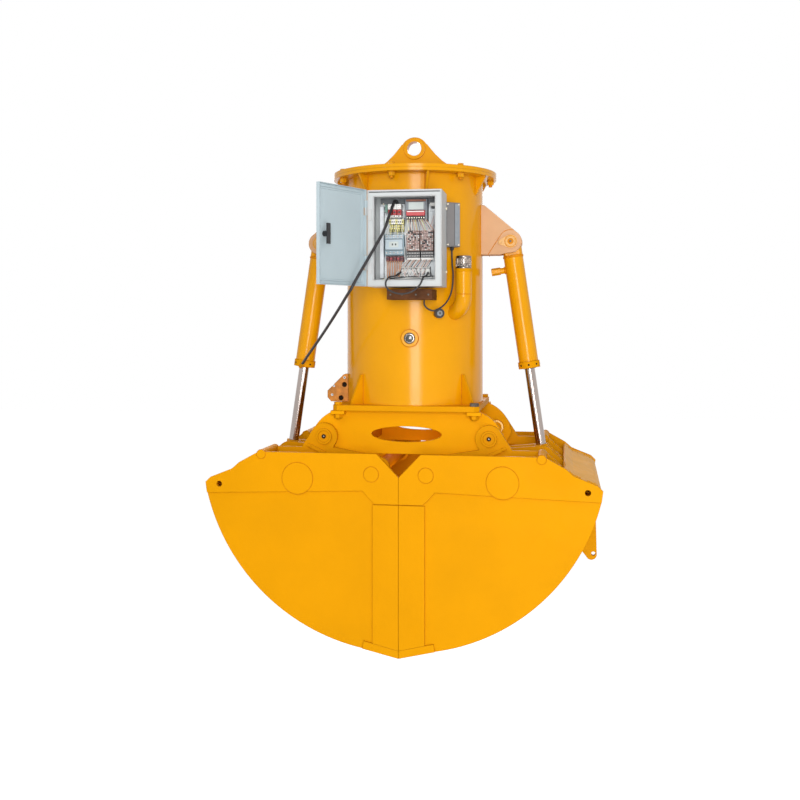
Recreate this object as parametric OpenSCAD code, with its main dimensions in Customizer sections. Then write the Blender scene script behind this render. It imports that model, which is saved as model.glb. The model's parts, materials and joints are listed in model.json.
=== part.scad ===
// Electro-hydraulic clamshell bucket, closed and hanging from its lifting eye.
// The origin is the centre of the eye's bore, +Z up, +X to the side that the right jaw opens to,
// and the cabinet faces -Y.

/* [Lifting lug] */
// Radius of the lifting eye
eye_r = 32; // [20:1:38]
// Thickness of the lug plate
lug_t = 36; // [20:1:60]
// Radius of the lug's head
lug_head_r = 62; // [56:1:75]
// How far the head's centre lies below the eye
lug_head_drop = 10; // [0:1:20]
// Height of the eye over the cover
eye_height = 118; // [100:1:160]
// Width of the lug's foot
lug_foot_w = 340; // [300:2:380]
// Outer radius of the rings round the eye
eye_ring_r = 48; // [42:1:54]
// Thickness of the rings round the eye
eye_ring_t = 6; // [3:1:12]

/* [Cover and tank] */
// Radius of the cover and the tank's flange
cover_r = 368; // [355:1:390]
// Thickness of the cover
cover_t = 15; // [8:1:25]
// Thickness of the tank's flange
flange_t = 14; // [8:1:25]
// Outer radius of the tank
tank_r = 307; // [296:1:315]
// Wall of the tank
tank_wall = 8; // [5:1:14]
// Height of the tank between its flange and the base plate
tank_h = 995; // [980:5:1060]
// Number of gussets under the flange, with a bolt between each pair
flange_gussets = 7; // [5:1:9]
// Height of a flange gusset
flange_gusset_h = 80; // [50:1:100]
// Reach of a flange gusset from the tank wall
flange_gusset_w = 52; // [30:1:58]
// Thickness of the gussets
gusset_t = 10; // [6:1:16]
// Radius of the circle of cover bolts
bolt_circle_r = 342; // [338:1:350]
// Diameter of the cover bolts
bolt_d = 16; // [10:1:20]

/* [Base plate] */
// Width of the base plate along X
base_w = 632; // [620:2:660]
// Depth of the base plate along Y
base_d = 616; // [600:2:640]
// Thickness of the base plate
base_t = 24; // [12:1:35]
// Height of a corner gusset
base_gusset_h = 130; // [80:1:180]
// Reach of a corner gusset from the tank wall
base_gusset_w = 62; // [40:1:80]
// Diameter of the base bolts
base_bolt_d = 20; // [12:1:24]

/* [Lower frame] */
// Height of the cheek plates
frame_h = 186; // [170:1:210]
// Half width of the cheek plates
frame_half_w = 425; // [415:1:440]
// Clear distance between the cheek plates
frame_gap = 490; // [440:2:500]
// Thickness of a cheek plate
frame_plate_t = 20; // [12:1:24]
// Radius of the cheek plates' shoulders
shoulder_r = 166; // [150:1:180]
// Width of the oval opening
oval_w = 305; // [200:1:330]
// Height of the oval opening
oval_h = 67; // [40:1:80]
// Half distance between the jaw pivots
pivot_x = 356; // [345:1:365]
// Depth of the pivots under the top of the cheek plates
pivot_drop = 113; // [105:1:120]
// Radius of a pivot pin
pivot_pin_r = 25; // [18:1:28]
// Wall of a pivot bush
bush_wall = 7; // [4:1:10]

/* [Jaws] */
// Overall width of the jaws along Y
jaw_w = 964; // [920:4:1000]
// Half length of the level top edge
jaw_top_half = 593; // [580:1:605]
// Half length of the closed bucket at its tips
jaw_tip_half = 822; // [815:1:830]
// Depth of the tips under the top edge
jaw_tip_drop = 131; // [110:1:140]
// Depth of the top edge under the pivots
jaw_top_drop = 47; // [40:1:55]
// Depth of the closed lips under the top edge
jaw_h = 835; // [828:1:845]
// Outer radius of the skin
skin_r = 840; // [834:1:850]
// Depth of the skin's centre under the pivots
skin_drop = 21; // [15:1:26]
// Thickness of the skin
skin_t = 12; // [6:1:16]
// Thickness of the side plates
side_t = 10; // [6:1:14]
// Thickness of the doublers on the side plates
doubler_t = 6; // [4:1:10]
// Half width of the notch between the jaws
notch_half = 91; // [60:1:110]
// Depth of the notch
notch_depth = 95; // [70:1:110]
// Width of a lip plate
lip_w = 150; // [110:1:180]
// Thickness of a lip plate
lip_t = 32; // [20:1:40]
// Radius of the ear round the pivot
ear_r = 58; // [50:1:64]
// Thickness of a hinge plate
hinge_t = 20; // [12:1:26]
// Radius of the main cross tube
tube_r = 65.5; // [55:0.5:68]
// Radius of the inner cross tube
inner_tube_r = 31; // [24:1:34]
// Radius of the corner tube
corner_tube_r = 18.5; // [12:0.5:22]
// Radius of the hole near a tip
tip_hole_r = 12; // [8:1:16]
// Thickness of the sloping top sheet
sheet_t = 8; // [5:1:12]
// Thickness of the chain fin
fin_t = 20; // [12:1:30]

/* [Cylinders] */
// Distance of the upper pin from the middle
cyl_pin_x = 435; // [425:1:440]
// Depth of the upper pin under the cover
cyl_pin_drop = 309; // [290:1:320]
// Distance of the jaw's lug pin from the middle
lug_x = 575; // [570:1:580]
// Depth of the jaw's lug pin under the pivots
lug_drop = 106; // [100:1:112]
// Outer radius of the barrel
barrel_r = 43.5; // [42:0.5:46]
// Radius of the barrel's bore
bore_r = 35; // [31:0.5:37]
// Radius of the rod
rod_r = 22.5; // [16:0.5:25]
// Length from the upper pin to the end of the gland
barrel_len = 569; // [540:1:590]
// Radius of the cylinder pins
cyl_pin_r = 20; // [14:1:22]
// Radius of a bracket's ear round its pin
bracket_r = 49; // [44:1:56]
// Thickness of a bracket ear
bracket_t = 18; // [10:1:22]
// Clear distance between two bracket ears
bracket_gap = 66; // [60:1:72]
// Height of a bracket at the tank
bracket_h = 220; // [180:2:240]

/* [Cabinet] */
// Width of the cabinet
cab_w = 305; // [296:1:315]
// Height of the cabinet
cab_h = 393; // [388:1:400]
// Depth of the cabinet without its door
cab_d = 180; // [170:1:190]
// Depth of the cabinet's front under the tank's axis
cab_front = 500; // [495:1:510]
// Depth of the cabinet's top under the cover
cab_drop = 129; // [110:1:135]
// Sheet thickness of the cabinet
cab_wall = 3; // [2:0.5:4]
// Width of the rim round the cabinet's opening
cab_rim = 26; // [15:1:30]
// Angle at which the door stands open
door_open = 115.5; // [90:0.5:125]
// Depth of the door with its folded rim
door_d = 15; // [12:1:20]

/* [Fittings] */
// Radius of the filler pipe
filler_r = 34; // [28:1:38]
// Distance of the filler pipe from the tank's axis
filler_reach = 370; // [365:1:380]
// Radius of the sight-glass boss
sight_boss_r = 36; // [30:1:44]
// Radius of the sight glass
sight_r = 21.5; // [15:0.5:26]
// Diameter of the supply lead
lead_d = 12; // [9:0.5:14]
// Diameter of the small leads
small_lead_d = 7; // [5:0.5:8]
// Radius of the electric motor
motor_r = 132; // [110:1:150]
// Length of the electric motor
motor_h = 330; // [300:5:360]

/* [Hidden] */

// Smoothness of small, middling and large round pieces
fine = 32;
round_fn = 64;
large_fn = 180;
// Overrun of a cut past a face
cut = 1;
// Gap between welded or bolted pieces, and running clearance of pins and rods
seat_gap = 0.3;
run_gap = 0.05;
// Gap between the closed jaws at each side of the middle
seam_gap = 0.5;

// Levels from the top down
cover_top = -eye_height;
cover_low = cover_top - cover_t;
flange_low = cover_low - flange_t;
tank_low = flange_low - tank_h;
base_low = tank_low - base_t;
frame_low = base_low - frame_h;
pivot_z = base_low - pivot_drop;
jaw_top = pivot_z - jaw_top_drop;
jaw_low = jaw_top - jaw_h;
skin_z = pivot_z - skin_drop;

// Planes of the plates along Y
cheek_out = frame_gap / 2 + frame_plate_t;
cheek_clear = 5;
hinge_in = cheek_out + cheek_clear;
hinge_out = hinge_in + hinge_t;
side_in = jaw_w / 2 - doubler_t - side_t;

function polar(r, a) = [r * cos(a), r * sin(a)];
// A point on the skin's outer circle at a height
function on_skin(z, r) = [sqrt(r * r - (z - skin_z) * (z - skin_z)), z];
// A point round the tank at an angle to the right of the front
function round_tank(r, a) = [r * sin(a), -r * cos(a)];

// Lays a flat outline in the XZ plane with its near face at y
module plate(y, t) { translate([0, y + t, 0]) rotate([90, 0, 0]) linear_extrude(t) children(); }

// The same plate at the front and at the rear
module front_and_rear(y, t) { plate(y, t) children(); plate(-y - t, t) children(); }

// A round bar along Y between two planes
module bar(x, z, r, y0, y1, fn = round_fn) {
    translate([x, y1, z]) rotate([90, 0, 0]) cylinder(h = y1 - y0, r = r, $fn = fn);
}

// The same bar at the front and at the rear
module bars(x, z, r, y0, y1, fn = round_fn) { bar(x, z, r, y0, y1, fn); bar(x, z, r, -y1, -y0, fn); }

// Outline round two circles
module link(p, rp, q, rq) {
    d = norm(q - p);
    a = atan2(q[1] - p[1], q[0] - p[0]);
    b = acos((rp - rq) / d);
    translate(p) circle(rp, $fn = round_fn);
    translate(q) circle(rq, $fn = round_fn);
    polygon([p + polar(rp, a + b), p + polar(rp, a - b), q + polar(rq, a - b), q + polar(rq, a + b)]);
}

// Hexagon bolt along -Z from its head's seat at zero
module bolt(d, grip) {
    head_h = 0.64 * d;
    cylinder(h = head_h, d = 1.8 * d, $fn = 6);
    translate([0, 0, -grip - d]) cylinder(h = grip + d, d = d, $fn = fine);
    translate([0, 0, -grip - 0.8 * d]) cylinder(h = 0.8 * d, d = 1.8 * d, $fn = 6);
}

// Flank of the lug from its foot up, as shares of half the foot's width and of the cover's depth
flank_shares = [[1, 1], [1, 0.74], [0.735, 0.466], [0.56, 0.22], [0.43, 0], [0.34, -0.17]];

module lifting_lug() {
    flank = [for (s = flank_shares) [s[0] * lug_foot_w / 2, s[1] * cover_top]];
    color("orange") {
        plate(-lug_t / 2, lug_t) difference() {
            union() {
                translate([0, -lug_head_drop]) circle(lug_head_r, $fn = round_fn);
                polygon(concat(flank, [for (i = [len(flank) - 1:-1:0]) [-flank[i][0], flank[i][1]]]));
            }
            circle(eye_r, $fn = round_fn);
        }
        front_and_rear(lug_t / 2, eye_ring_t) difference() {
            circle(eye_ring_r, $fn = round_fn);
            circle(eye_r, $fn = round_fn);
        }
    }
}

// Angle of the first flange gusset, and half the step to the bolt beside it
gusset_turn = 17;
gusset_step = 360 / flange_gussets;

module top_cover() {
    color("orange") difference() {
        translate([0, 0, cover_low]) cylinder(h = cover_t, r = cover_r, $fn = large_fn);
        for (i = [0:flange_gussets - 1]) {
            p = round_tank(bolt_circle_r, gusset_turn + (i + 0.5) * gusset_step);
            translate([p[0], p[1], cover_low - cut])
                cylinder(h = cover_t + 2 * cut, d = bolt_d + cut, $fn = fine);
        }
    }
}

module cover_bolts() {
    color("goldenrod") for (i = [0:flange_gussets - 1]) {
        a = gusset_turn + (i + 0.5) * gusset_step;
        p = round_tank(bolt_circle_r, a);
        translate([p[0], p[1], cover_top]) rotate([0, 0, a]) bolt(bolt_d, cover_t + flange_t);
    }
}

// Levels and angles of what sits on the tank
sight_drop = 736;
sight_z = cover_top - sight_drop;
sight_turn = 4;
sight_boss_h = 14;
switch_drop = 630;
switch_z = cover_top - switch_drop;
switch_turn = 26;
switch_boss_r = 18;
filler_turn = 42;
filler_low_drop = 549;
filler_top_drop = 440;
filler_low = cover_top - filler_low_drop;
filler_top = cover_top - filler_top_drop;
elbow_r = 76;

// Right triangle against the tank wall, with its upright at radius r
module tank_gusset(r, a, w, h, z, up) {
    rotate([0, 0, a - 90]) translate([r, gusset_t / 2, z]) rotate([90, 0, 0])
        linear_extrude(gusset_t) polygon([[0, 0], [w, 0], [w, up * h / 8], [w / 6, up * h], [0, up * h]]);
}

// Radial stub from the tank wall
module tank_stub(a, z, r, r0, r1) {
    rotate([0, 0, a - 90]) translate([r0, 0, z]) rotate([0, 90, 0])
        cylinder(h = r1 - r0, r = r, $fn = round_fn);
}

module tank_shell() {
    color("orange") difference() {
        union() {
            translate([0, 0, tank_low]) cylinder(h = tank_h + flange_t, r = tank_r, $fn = large_fn);
            translate([0, 0, flange_low]) cylinder(h = flange_t, r = cover_r, $fn = large_fn);
            for (i = [0:flange_gussets - 1])
                tank_gusset(tank_r - tank_wall / 2, gusset_turn + i * gusset_step,
                            flange_gusset_w, flange_gusset_h + flange_t / 2, flange_low + flange_t / 2, -1);
            tank_stub(sight_turn, sight_z, sight_boss_r, tank_r - tank_wall / 2, tank_r + sight_boss_h);
            tank_stub(switch_turn, switch_z, switch_boss_r, tank_r - tank_wall / 2, tank_r + tank_wall);
        }
        translate([0, 0, tank_low - cut])
            cylinder(h = tank_h + flange_t + 2 * cut, r = tank_r - tank_wall, $fn = large_fn);
        tank_stub(sight_turn, sight_z, sight_r + seat_gap, tank_r - 3 * tank_wall, tank_r + 2 * sight_boss_h);
        tank_stub(filler_turn, filler_low - elbow_r, filler_r - tank_wall / 2,
                  tank_r - 3 * tank_wall, tank_r + 2 * tank_wall);
        for (i = [0:flange_gussets - 1]) {
            p = round_tank(bolt_circle_r, gusset_turn + (i + 0.5) * gusset_step);
            translate([p[0], p[1], flange_low - cut])
                cylinder(h = flange_t + 2 * cut, d = bolt_d + cut, $fn = fine);
        }
    }
}

// Places of the base bolts, as shares of the base plate's half sizes
base_bolt_shares = [[0.93, 0.93], [-0.93, 0.93], [-0.93, -0.93], [0.93, -0.93]];
base_gusset_turn = 50;
base_corner = 60;

module base_outline() {
    x = base_w / 2;
    y = base_d / 2;
    c = base_corner / 3;
    polygon([[x, c - y], [x, y - c], [x - c, y], [c - x, y], [-x, y - c], [-x, c - y], [c - x, -y],
        [x - c, -y]]);
}

module base_plate() {
    color("orange") difference() {
        union() {
            translate([0, 0, base_low]) linear_extrude(base_t) base_outline();
            for (i = [0:3])
                tank_gusset(tank_r + seat_gap, base_gusset_turn + 90 * i, base_gusset_w, base_gusset_h,
                            tank_low, 1);
        }
        for (s = base_bolt_shares)
            translate([s[0] * base_w / 2, s[1] * base_d / 2, base_low - cut])
                cylinder(h = base_t + 2 * cut, d = base_bolt_d + cut, $fn = fine);
    }
}

// Corner pads that the base bolts clamp, carried by the cheek plates
pad_t = 16;
pad_margin = 3;
pad_d = base_d / 2 - cheek_out - pad_margin;

module base_bolts() {
    color("dimgray") for (s = base_bolt_shares)
        translate([s[0] * base_w / 2, s[1] * base_d / 2, tank_low])
            bolt(base_bolt_d, base_t + pad_t);
}

// Upper pins of the cylinders
cyl_pin_z = cover_top - cyl_pin_drop;
bracket_out = bracket_gap / 2 + bracket_t;
bracket_foot = 58;
pin_washer_r = 30;
pin_washer_t = 6;

module bracket_outline() {
    pin = [cyl_pin_x, cyl_pin_z];
    low = cyl_pin_z - bracket_foot;
    x0 = tank_r - 4 * tank_wall;
    slope = pin + polar(bracket_r, 42);
    difference() {
        union() {
            translate(pin) circle(bracket_r, $fn = round_fn);
            polygon([[x0, low + bracket_h], [tank_r + 2 * bracket_t / 3, low + bracket_h], slope,
                     pin, pin + [0, -bracket_r], pin - [bracket_r, bracket_foot], [x0, low]]);
        }
        translate(pin) circle(cyl_pin_r + run_gap, $fn = round_fn);
    }
}

module bracket_right() {
    difference() {
        front_and_rear(bracket_gap / 2, bracket_t) bracket_outline();
        translate([0, 0, tank_low]) cylinder(h = tank_h, r = tank_r + seat_gap, $fn = large_fn);
    }
}

module cylinder_brackets() {
    color("orange") { bracket_right(); mirror([1, 0, 0]) bracket_right(); }
}

module bracket_pin_right() {
    bar(cyl_pin_x, cyl_pin_z, cyl_pin_r, -bracket_out - seat_gap - pin_washer_t,
        bracket_out + seat_gap + pin_washer_t);
    // Washers at both ends, the front one with its keeper and bolt
    front_and_rear(bracket_out + seat_gap, pin_washer_t) difference() {
        link([cyl_pin_x, cyl_pin_z], pin_washer_r, [cyl_pin_x - 1.5 * pin_washer_r,
            cyl_pin_z - cyl_pin_r / 5],
             pin_washer_r / 3);
        translate([cyl_pin_x, cyl_pin_z]) circle(cyl_pin_r - run_gap, $fn = round_fn);
    }
    bars(cyl_pin_x - 1.5 * pin_washer_r, cyl_pin_z - cyl_pin_r / 5, pin_washer_r / 5,
         bracket_out + seat_gap + pin_washer_t / 2, bracket_out + 2 * pin_washer_t, fine);
}

module bracket_pins() {
    color("peru") { bracket_pin_right(); mirror([1, 0, 0]) bracket_pin_right(); }
}

// Power pack inside the tank
motor_top = cover_low;
motor_flange_t = 18;
motor_flange_r = 165;
shaft_r = 19;
rotor_r = 78;
motor_low = motor_top - motor_h;
bell_h = 120;
bell_low = motor_low - bell_h;
pump_h = 130;
pump_low = bell_low - pump_h;
pump_w = 120;

module motor_housing() {
    fins = 20;
    color("gray") difference() {
        union() {
            translate([0, 0, motor_top - motor_flange_t])
                cylinder(h = motor_flange_t - seat_gap, r = motor_flange_r, $fn = round_fn);
            translate([0, 0, motor_low]) cylinder(h = motor_h - motor_flange_t / 2, r = 0.86 * motor_r,
                $fn = round_fn);
            for (i = [0:fins - 1])
                rotate([0, 0, i * 360 / fins]) translate([0.84 * motor_r, -gusset_t / 4,
                    motor_low + motor_h / 8])
                    cube([0.16 * motor_r, gusset_t / 2, 0.75 * motor_h]);
        }
        translate([0, 0, motor_low + motor_h / 8]) cylinder(h = 0.7 * motor_h, r = rotor_r + 1,
            $fn = round_fn);
        translate([0, 0, motor_low - cut]) cylinder(h = motor_h / 2, r = shaft_r + run_gap, $fn = round_fn);
    }
}

module bell_housing() {
    color("silver") difference() {
        translate([0, 0, bell_low + seat_gap]) cylinder(h = bell_h - 2 * seat_gap, r = 0.75 * motor_r,
            $fn = round_fn);
        translate([0, 0, bell_low + bell_h / 8]) cylinder(h = bell_h, r = 0.55 * motor_r, $fn = round_fn);
        translate([0, 0, bell_low - cut]) cylinder(h = bell_h, r = shaft_r + cut, $fn = round_fn);
    }
}

module gear_pump() {
    color("dimgray") difference() {
        translate([-pump_w / 2, -pump_w / 2, pump_low]) cube([pump_w, pump_w, pump_h]);
        translate([0, 0, bell_low - 0.4 * pump_h]) cylinder(h = pump_h, r = shaft_r + run_gap,
            $fn = round_fn);
    }
}

module suction_strainer() {
    strainer_r = 45;
    color("silver") translate([0, 0, pump_low - seat_gap]) {
        translate([0, 0, -tank_wall * 4]) cylinder(h = tank_wall * 4, r = strainer_r / 2, $fn = fine);
        translate([0, 0, -tank_wall * 18]) cylinder(h = tank_wall * 14, r = strainer_r, $fn = round_fn);
    }
}

module motor_shaft() {
    coupling_r = 50;
    color("steelblue") {
        translate([0, 0, bell_low - pump_h / 3]) cylinder(h = motor_low + motor_h / 3 - bell_low + pump_h / 3,
                                                          r = shaft_r, $fn = round_fn);
        translate([0, 0, motor_low + motor_h / 6]) cylinder(h = 0.6 * motor_h, r = rotor_r, $fn = round_fn);
        translate([0, 0, bell_low + bell_h / 4]) cylinder(h = bell_h / 2, r = coupling_r, $fn = round_fn);
    }
}

// Valve manifold at the tank's lower left
manifold_drop = 890;
manifold_top = cover_top - manifold_drop;
manifold_front = 110;
manifold_d = 96;
manifold_w = 75;
port_r = 11;
port_shares = [[0.827, 0.12], [1.03, 0.57]];

module valve_manifold() {
    low = tank_low + seat_gap;
    h = manifold_top - low;
    x = tank_r + manifold_w;
    color("orange") difference() {
        plate(-manifold_front, manifold_d) polygon([
            [manifold_w - tank_r, manifold_top], [-tank_r, manifold_top - h / 12], [-x, low + 0.36 * h],
            [-x, low + 0.14 * h], [-x + h / 8, low], [manifold_w - tank_r, low]]);
        translate([0, 0, tank_low]) cylinder(h = tank_h, r = tank_r + seat_gap, $fn = large_fn);
        for (s = port_shares)
            bar(-x + manifold_w * s[0], low + h * s[1], port_r, -manifold_front - cut,
                -manifold_front + 2 * port_r,
                fine);
    }
}

module sight_glass() {
    color("silver") {
        difference() {
            tank_stub(sight_turn, sight_z, sight_r, tank_r + seat_gap, tank_r + sight_boss_h + tank_wall / 2);
            tank_stub(sight_turn, sight_z, 0.7 * sight_r, tank_r + sight_boss_h / 2,
                tank_r + 3 * sight_boss_h);
        }
    }
}

module filler_pipe() {
    color("orange") difference() {
        union() {
            rotate([0, 0, filler_turn - 90]) translate([filler_reach, 0, filler_low])
                cylinder(h = filler_top - filler_low, r = filler_r, $fn = round_fn);
            rotate([0, 0, filler_turn - 90]) translate([filler_reach - elbow_r, 0, filler_low])
                rotate([-90, 0, 0])
                rotate_extrude(angle = 90, $fn = large_fn) translate([elbow_r, 0])
                    circle(filler_r, $fn = round_fn);
        }
        translate([0, 0, tank_low]) cylinder(h = tank_h, r = tank_r + seat_gap, $fn = large_fn);
        rotate([0, 0, filler_turn - 90]) translate([filler_reach, 0, filler_low + filler_r])
            cylinder(h = filler_top - filler_low, r = filler_r - tank_wall / 2, $fn = round_fn);
    }
}

cap_h = 55;

module breather_cap() {
    color("silver") rotate([0, 0, filler_turn - 90]) translate([filler_reach, 0, filler_top]) {
        translate([0, 0, seat_gap]) cylinder(h = cap_h, r = filler_r, $fn = round_fn);
        translate([0, 0, -filler_r / 2]) cylinder(h = filler_r,
            r = filler_r - tank_wall / 2 - 3 * run_gap, $fn = round_fn);
    }
}

module level_switch() {
    color("black") {
        tank_stub(switch_turn, switch_z, switch_boss_r * 0.7, tank_r + tank_wall + seat_gap,
            tank_r + 3 * tank_wall);
        tank_stub(switch_turn, switch_z, switch_boss_r * 1.15, tank_r + 2 * tank_wall,
            tank_r + 4.5 * tank_wall);
    }
}

// Cabinet, its left side at cab_x
cab_x = -125;
cab_top = cover_top - cab_drop;
cab_low = cab_top - cab_h;
cab_back = cab_d - cab_front;
hinge_pin_r = 4;
hinge_off = 10;
door_gap = 3;
hinge_x = cab_x - hinge_pin_r;
hinge_y = -cab_front - hinge_off;
panel_gap = 12;
panel_y = cab_back - cab_wall - panel_gap;

module cabinet_box() {
    rail = 16;
    color("lightsteelblue") {
        difference() {
            translate([cab_x, -cab_front, cab_low]) cube([cab_w, cab_d, cab_h]);
            translate([cab_x + cab_wall, -cab_front + cab_wall, cab_low + cab_wall])
                cube([cab_w - 2 * cab_wall, cab_d - 2 * cab_wall, cab_h - 2 * cab_wall]);
            translate([cab_x + cab_rim, -cab_front - cut, cab_low + cab_rim])
                cube([cab_w - 2 * cab_rim, cab_wall + 2 * cut, cab_h - 2 * cab_rim]);
        }
        // Rails that carry the cabinet on the tank
        difference() {
            for (z = [cab_low + cab_h / 6, cab_low + 0.78 * cab_h])
                translate([cab_x + cab_rim, cab_back, z])
                    cube([0.9 * (cab_w - 2 * cab_rim), tank_r + cab_back + cab_d / 2, rail]);
            translate([0, 0, tank_low]) cylinder(h = tank_h, r = tank_r + seat_gap, $fn = large_fn);
        }
    }
}

// Heights of the two hinges, as shares of the cabinet's height
hinge_shares = [0.17, 0.74];
hinge_knuckle = 30;

module cabinet_hinges() {
    color("silver") for (s = hinge_shares) translate([hinge_x, hinge_y, cab_low + s * cab_h]) {
        cylinder(h = 2 * hinge_knuckle, r = hinge_pin_r - run_gap, $fn = fine);
        difference() {
            union() {
                cylinder(h = hinge_knuckle - run_gap, r = 1.6 * hinge_pin_r, $fn = fine);
                translate([hinge_pin_r / 4, 0, 0]) cube([hinge_pin_r, 8 * hinge_pin_r,
                    hinge_knuckle - run_gap]);
            }
            translate([0, 0, -cut]) cylinder(h = hinge_knuckle + 2 * cut, r = hinge_pin_r - run_gap,
                $fn = fine);
            translate([cab_x - hinge_x - seat_gap, -hinge_pin_r, -cut])
                cube([cab_w, cab_d, hinge_knuckle + 2 * cut]);
        }
    }
}

latch_reach = 44;
latch_z = cab_low + cab_h / 2;
latch_r = 11;

// Places its children, drawn with the door shut, where the open door stands
module on_door() {
    translate([hinge_x, hinge_y, 0]) rotate([0, 0, -door_open]) translate([-hinge_x, -hinge_y, 0]) children();
}

door_back = -cab_front - door_gap;
door_front = door_back - door_d;

module cabinet_door() {
    wall = cab_wall * 0.8;
    color("lightsteelblue") on_door() {
        difference() {
            translate([cab_x, door_front, cab_low]) cube([cab_w, door_d, cab_h]);
            translate([cab_x + wall, door_front + wall, cab_low + wall])
                cube([cab_w - 2 * wall, door_d, cab_h - 2 * wall]);
            translate([cab_x + cab_w - latch_reach, door_front + door_d / 2, latch_z]) rotate([90, 0, 0])
                cylinder(h = door_d, r = latch_r + run_gap, $fn = round_fn);
            // Room for the hinge knuckles
            for (s = hinge_shares) translate([hinge_x, hinge_y, cab_low + s * cab_h - cut])
                cylinder(h = 2 * hinge_knuckle + 2 * cut, r = 2.2 * hinge_pin_r, $fn = fine);
        }
        // Door halves of the hinges
        for (s = hinge_shares) translate([hinge_x, hinge_y, cab_low + s * cab_h + hinge_knuckle])
            difference() {
            union() {
                cylinder(h = hinge_knuckle, r = 1.6 * hinge_pin_r, $fn = fine);
                translate([0, door_front - hinge_y, 0]) cube([5 * hinge_pin_r, wall + hinge_pin_r / 4,
                    hinge_knuckle]);
                translate([0, door_front - hinge_y, 0])
                    cube([hinge_pin_r / 2 + cab_wall, hinge_y - door_front, hinge_knuckle]);
            }
            translate([0, 0, -cut]) cylinder(h = hinge_knuckle + 2 * cut, r = hinge_pin_r, $fn = fine);
        }
    }
}

module door_latch() {
    cam_l = 80;
    cam_w = 20;
    cam_t = 5;
    cam_gap = 1;
    cam_y = door_d + door_gap + cab_wall + cam_gap;
    color("black") on_door() translate([cab_x + cab_w - latch_reach, door_front, latch_z]) {
        translate([0, -seat_gap, 0]) rotate([90, 0, 0])
            cylinder(h = door_d / 3, r = 1.4 * latch_r, $fn = round_fn);
        translate([0, cam_y + cam_t, 0]) rotate([90, 0, 0])
            cylinder(h = cam_y + cam_t + cut, r = latch_r, $fn = round_fn);
        translate([-cam_w / 2, cam_y, -cam_l / 2]) cube([cam_w, cam_t, cam_l]);
    }
}

// Electrical gear, each a share of the mounting panel: left, low, width, height, and depth off the panel
contactor_shares = [0.103, 0.317, 0.324, 0.258, 0.34];
relay_shares = [[0.466, 0.258, 0.217, 0.364, 0.30], [0.70, 0.258, 0.21, 0.364, 0.30]];
terminal_shares = [[0.352, 0.06, 0.245, 0.12, 0.20], [0.605, 0.06, 0.245, 0.12, 0.20],
                   [0.17, 0.61, 0.249, 0.15, 0.22], [0.103, 0.78, 0.285, 0.164, 0.32],
                   [0.119, 0.243, 0.30, 0.062, 0.20]];
meter_shares = [[0.45, 0.738, 0.368, 0.258, 0.42]];
panel_rail_shares = [0.13, 0.26, 0.49, 0.74, 0.86];
panel_w = cab_w - 2 * cab_rim;
panel_h = cab_h - 2 * cab_rim;
rail_t = 7;

module mounting_panel() {
    color("gainsboro") {
        translate([cab_x + cab_rim, panel_y, cab_low + cab_rim]) cube([panel_w, cab_wall, panel_h]);
        // Rails that the gear clips to
        for (s = panel_rail_shares)
            translate([cab_x + cab_rim + panel_w / 20, panel_y - rail_t, cab_low + cab_rim + s * panel_h])
                cube([0.9 * panel_w, rail_t, 0.05 * panel_h]);
        // Studs that hold the panel off the cabinet's back
        for (i = [0, 1], j = [0, 1])
            translate([cab_x + cab_rim + panel_w * (0.05 + 0.9 * i), panel_y + cab_wall,
                       cab_low + cab_rim + panel_h * (0.04 + 0.92 * j)]) rotate([-90, 0, 0])
                           cylinder(h = panel_gap - cab_wall - seat_gap, r = hinge_pin_r, $fn = fine);
    }
}

// A block of gear on the panel's rails
module gear(s) {
    translate([cab_x + cab_rim + s[0] * panel_w, panel_y - rail_t - seat_gap - s[4] * cab_d,
               cab_low + cab_rim + s[1] * panel_h])
        cube([s[2] * panel_w, s[4] * cab_d, s[3] * panel_h]);
}

module contactor() { color("slategray") gear(contactor_shares); }

module relay_stacks() { color("saddlebrown") for (s = relay_shares) gear(s); }

module terminal_strips() { color("beige") for (s = terminal_shares) gear(s); }

module meter_relay() { color("dimgray") for (s = meter_shares) gear(s); }

// Brown tray under the cabinet, seated on the tank
tray_w = 188;
tray_x = -55;
tray_h = 42;
tray_d = 130;
tray_gap = 10;
tray_wall = 4;
tray_top = cab_low - tray_gap;

module cable_tray() {
    front = tank_r + tray_d;
    color("saddlebrown") difference() {
        translate([tray_x, -front, tray_top - tray_h]) cube([tray_w, front - tank_r / 2, tray_h]);
        translate([tray_x + tray_wall, -front + tray_wall, tray_top - tray_h + tray_wall])
            cube([tray_w - 2 * tray_wall, front, tray_h]);
        translate([0, 0, tank_low]) cylinder(h = tank_h, r = tank_r + seat_gap, $fn = large_fn);
    }
}

// Small junction box at the cabinet's right
junction_turn = 35;
junction_w = 66;
junction_d = 50;
junction_h = 187;
junction_drop = 161;
junction_top = cover_top - junction_drop;

module junction_box() {
    color("silver") difference() {
        rotate([0, 0, junction_turn - 90])
            translate([tank_r - junction_d / 2, -junction_w / 2, junction_top - junction_h])
                cube([1.5 * junction_d, junction_w, junction_h]);
        translate([0, 0, tank_low]) cylinder(h = tank_h, r = tank_r + seat_gap, $fn = large_fn);
    }
}

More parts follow.
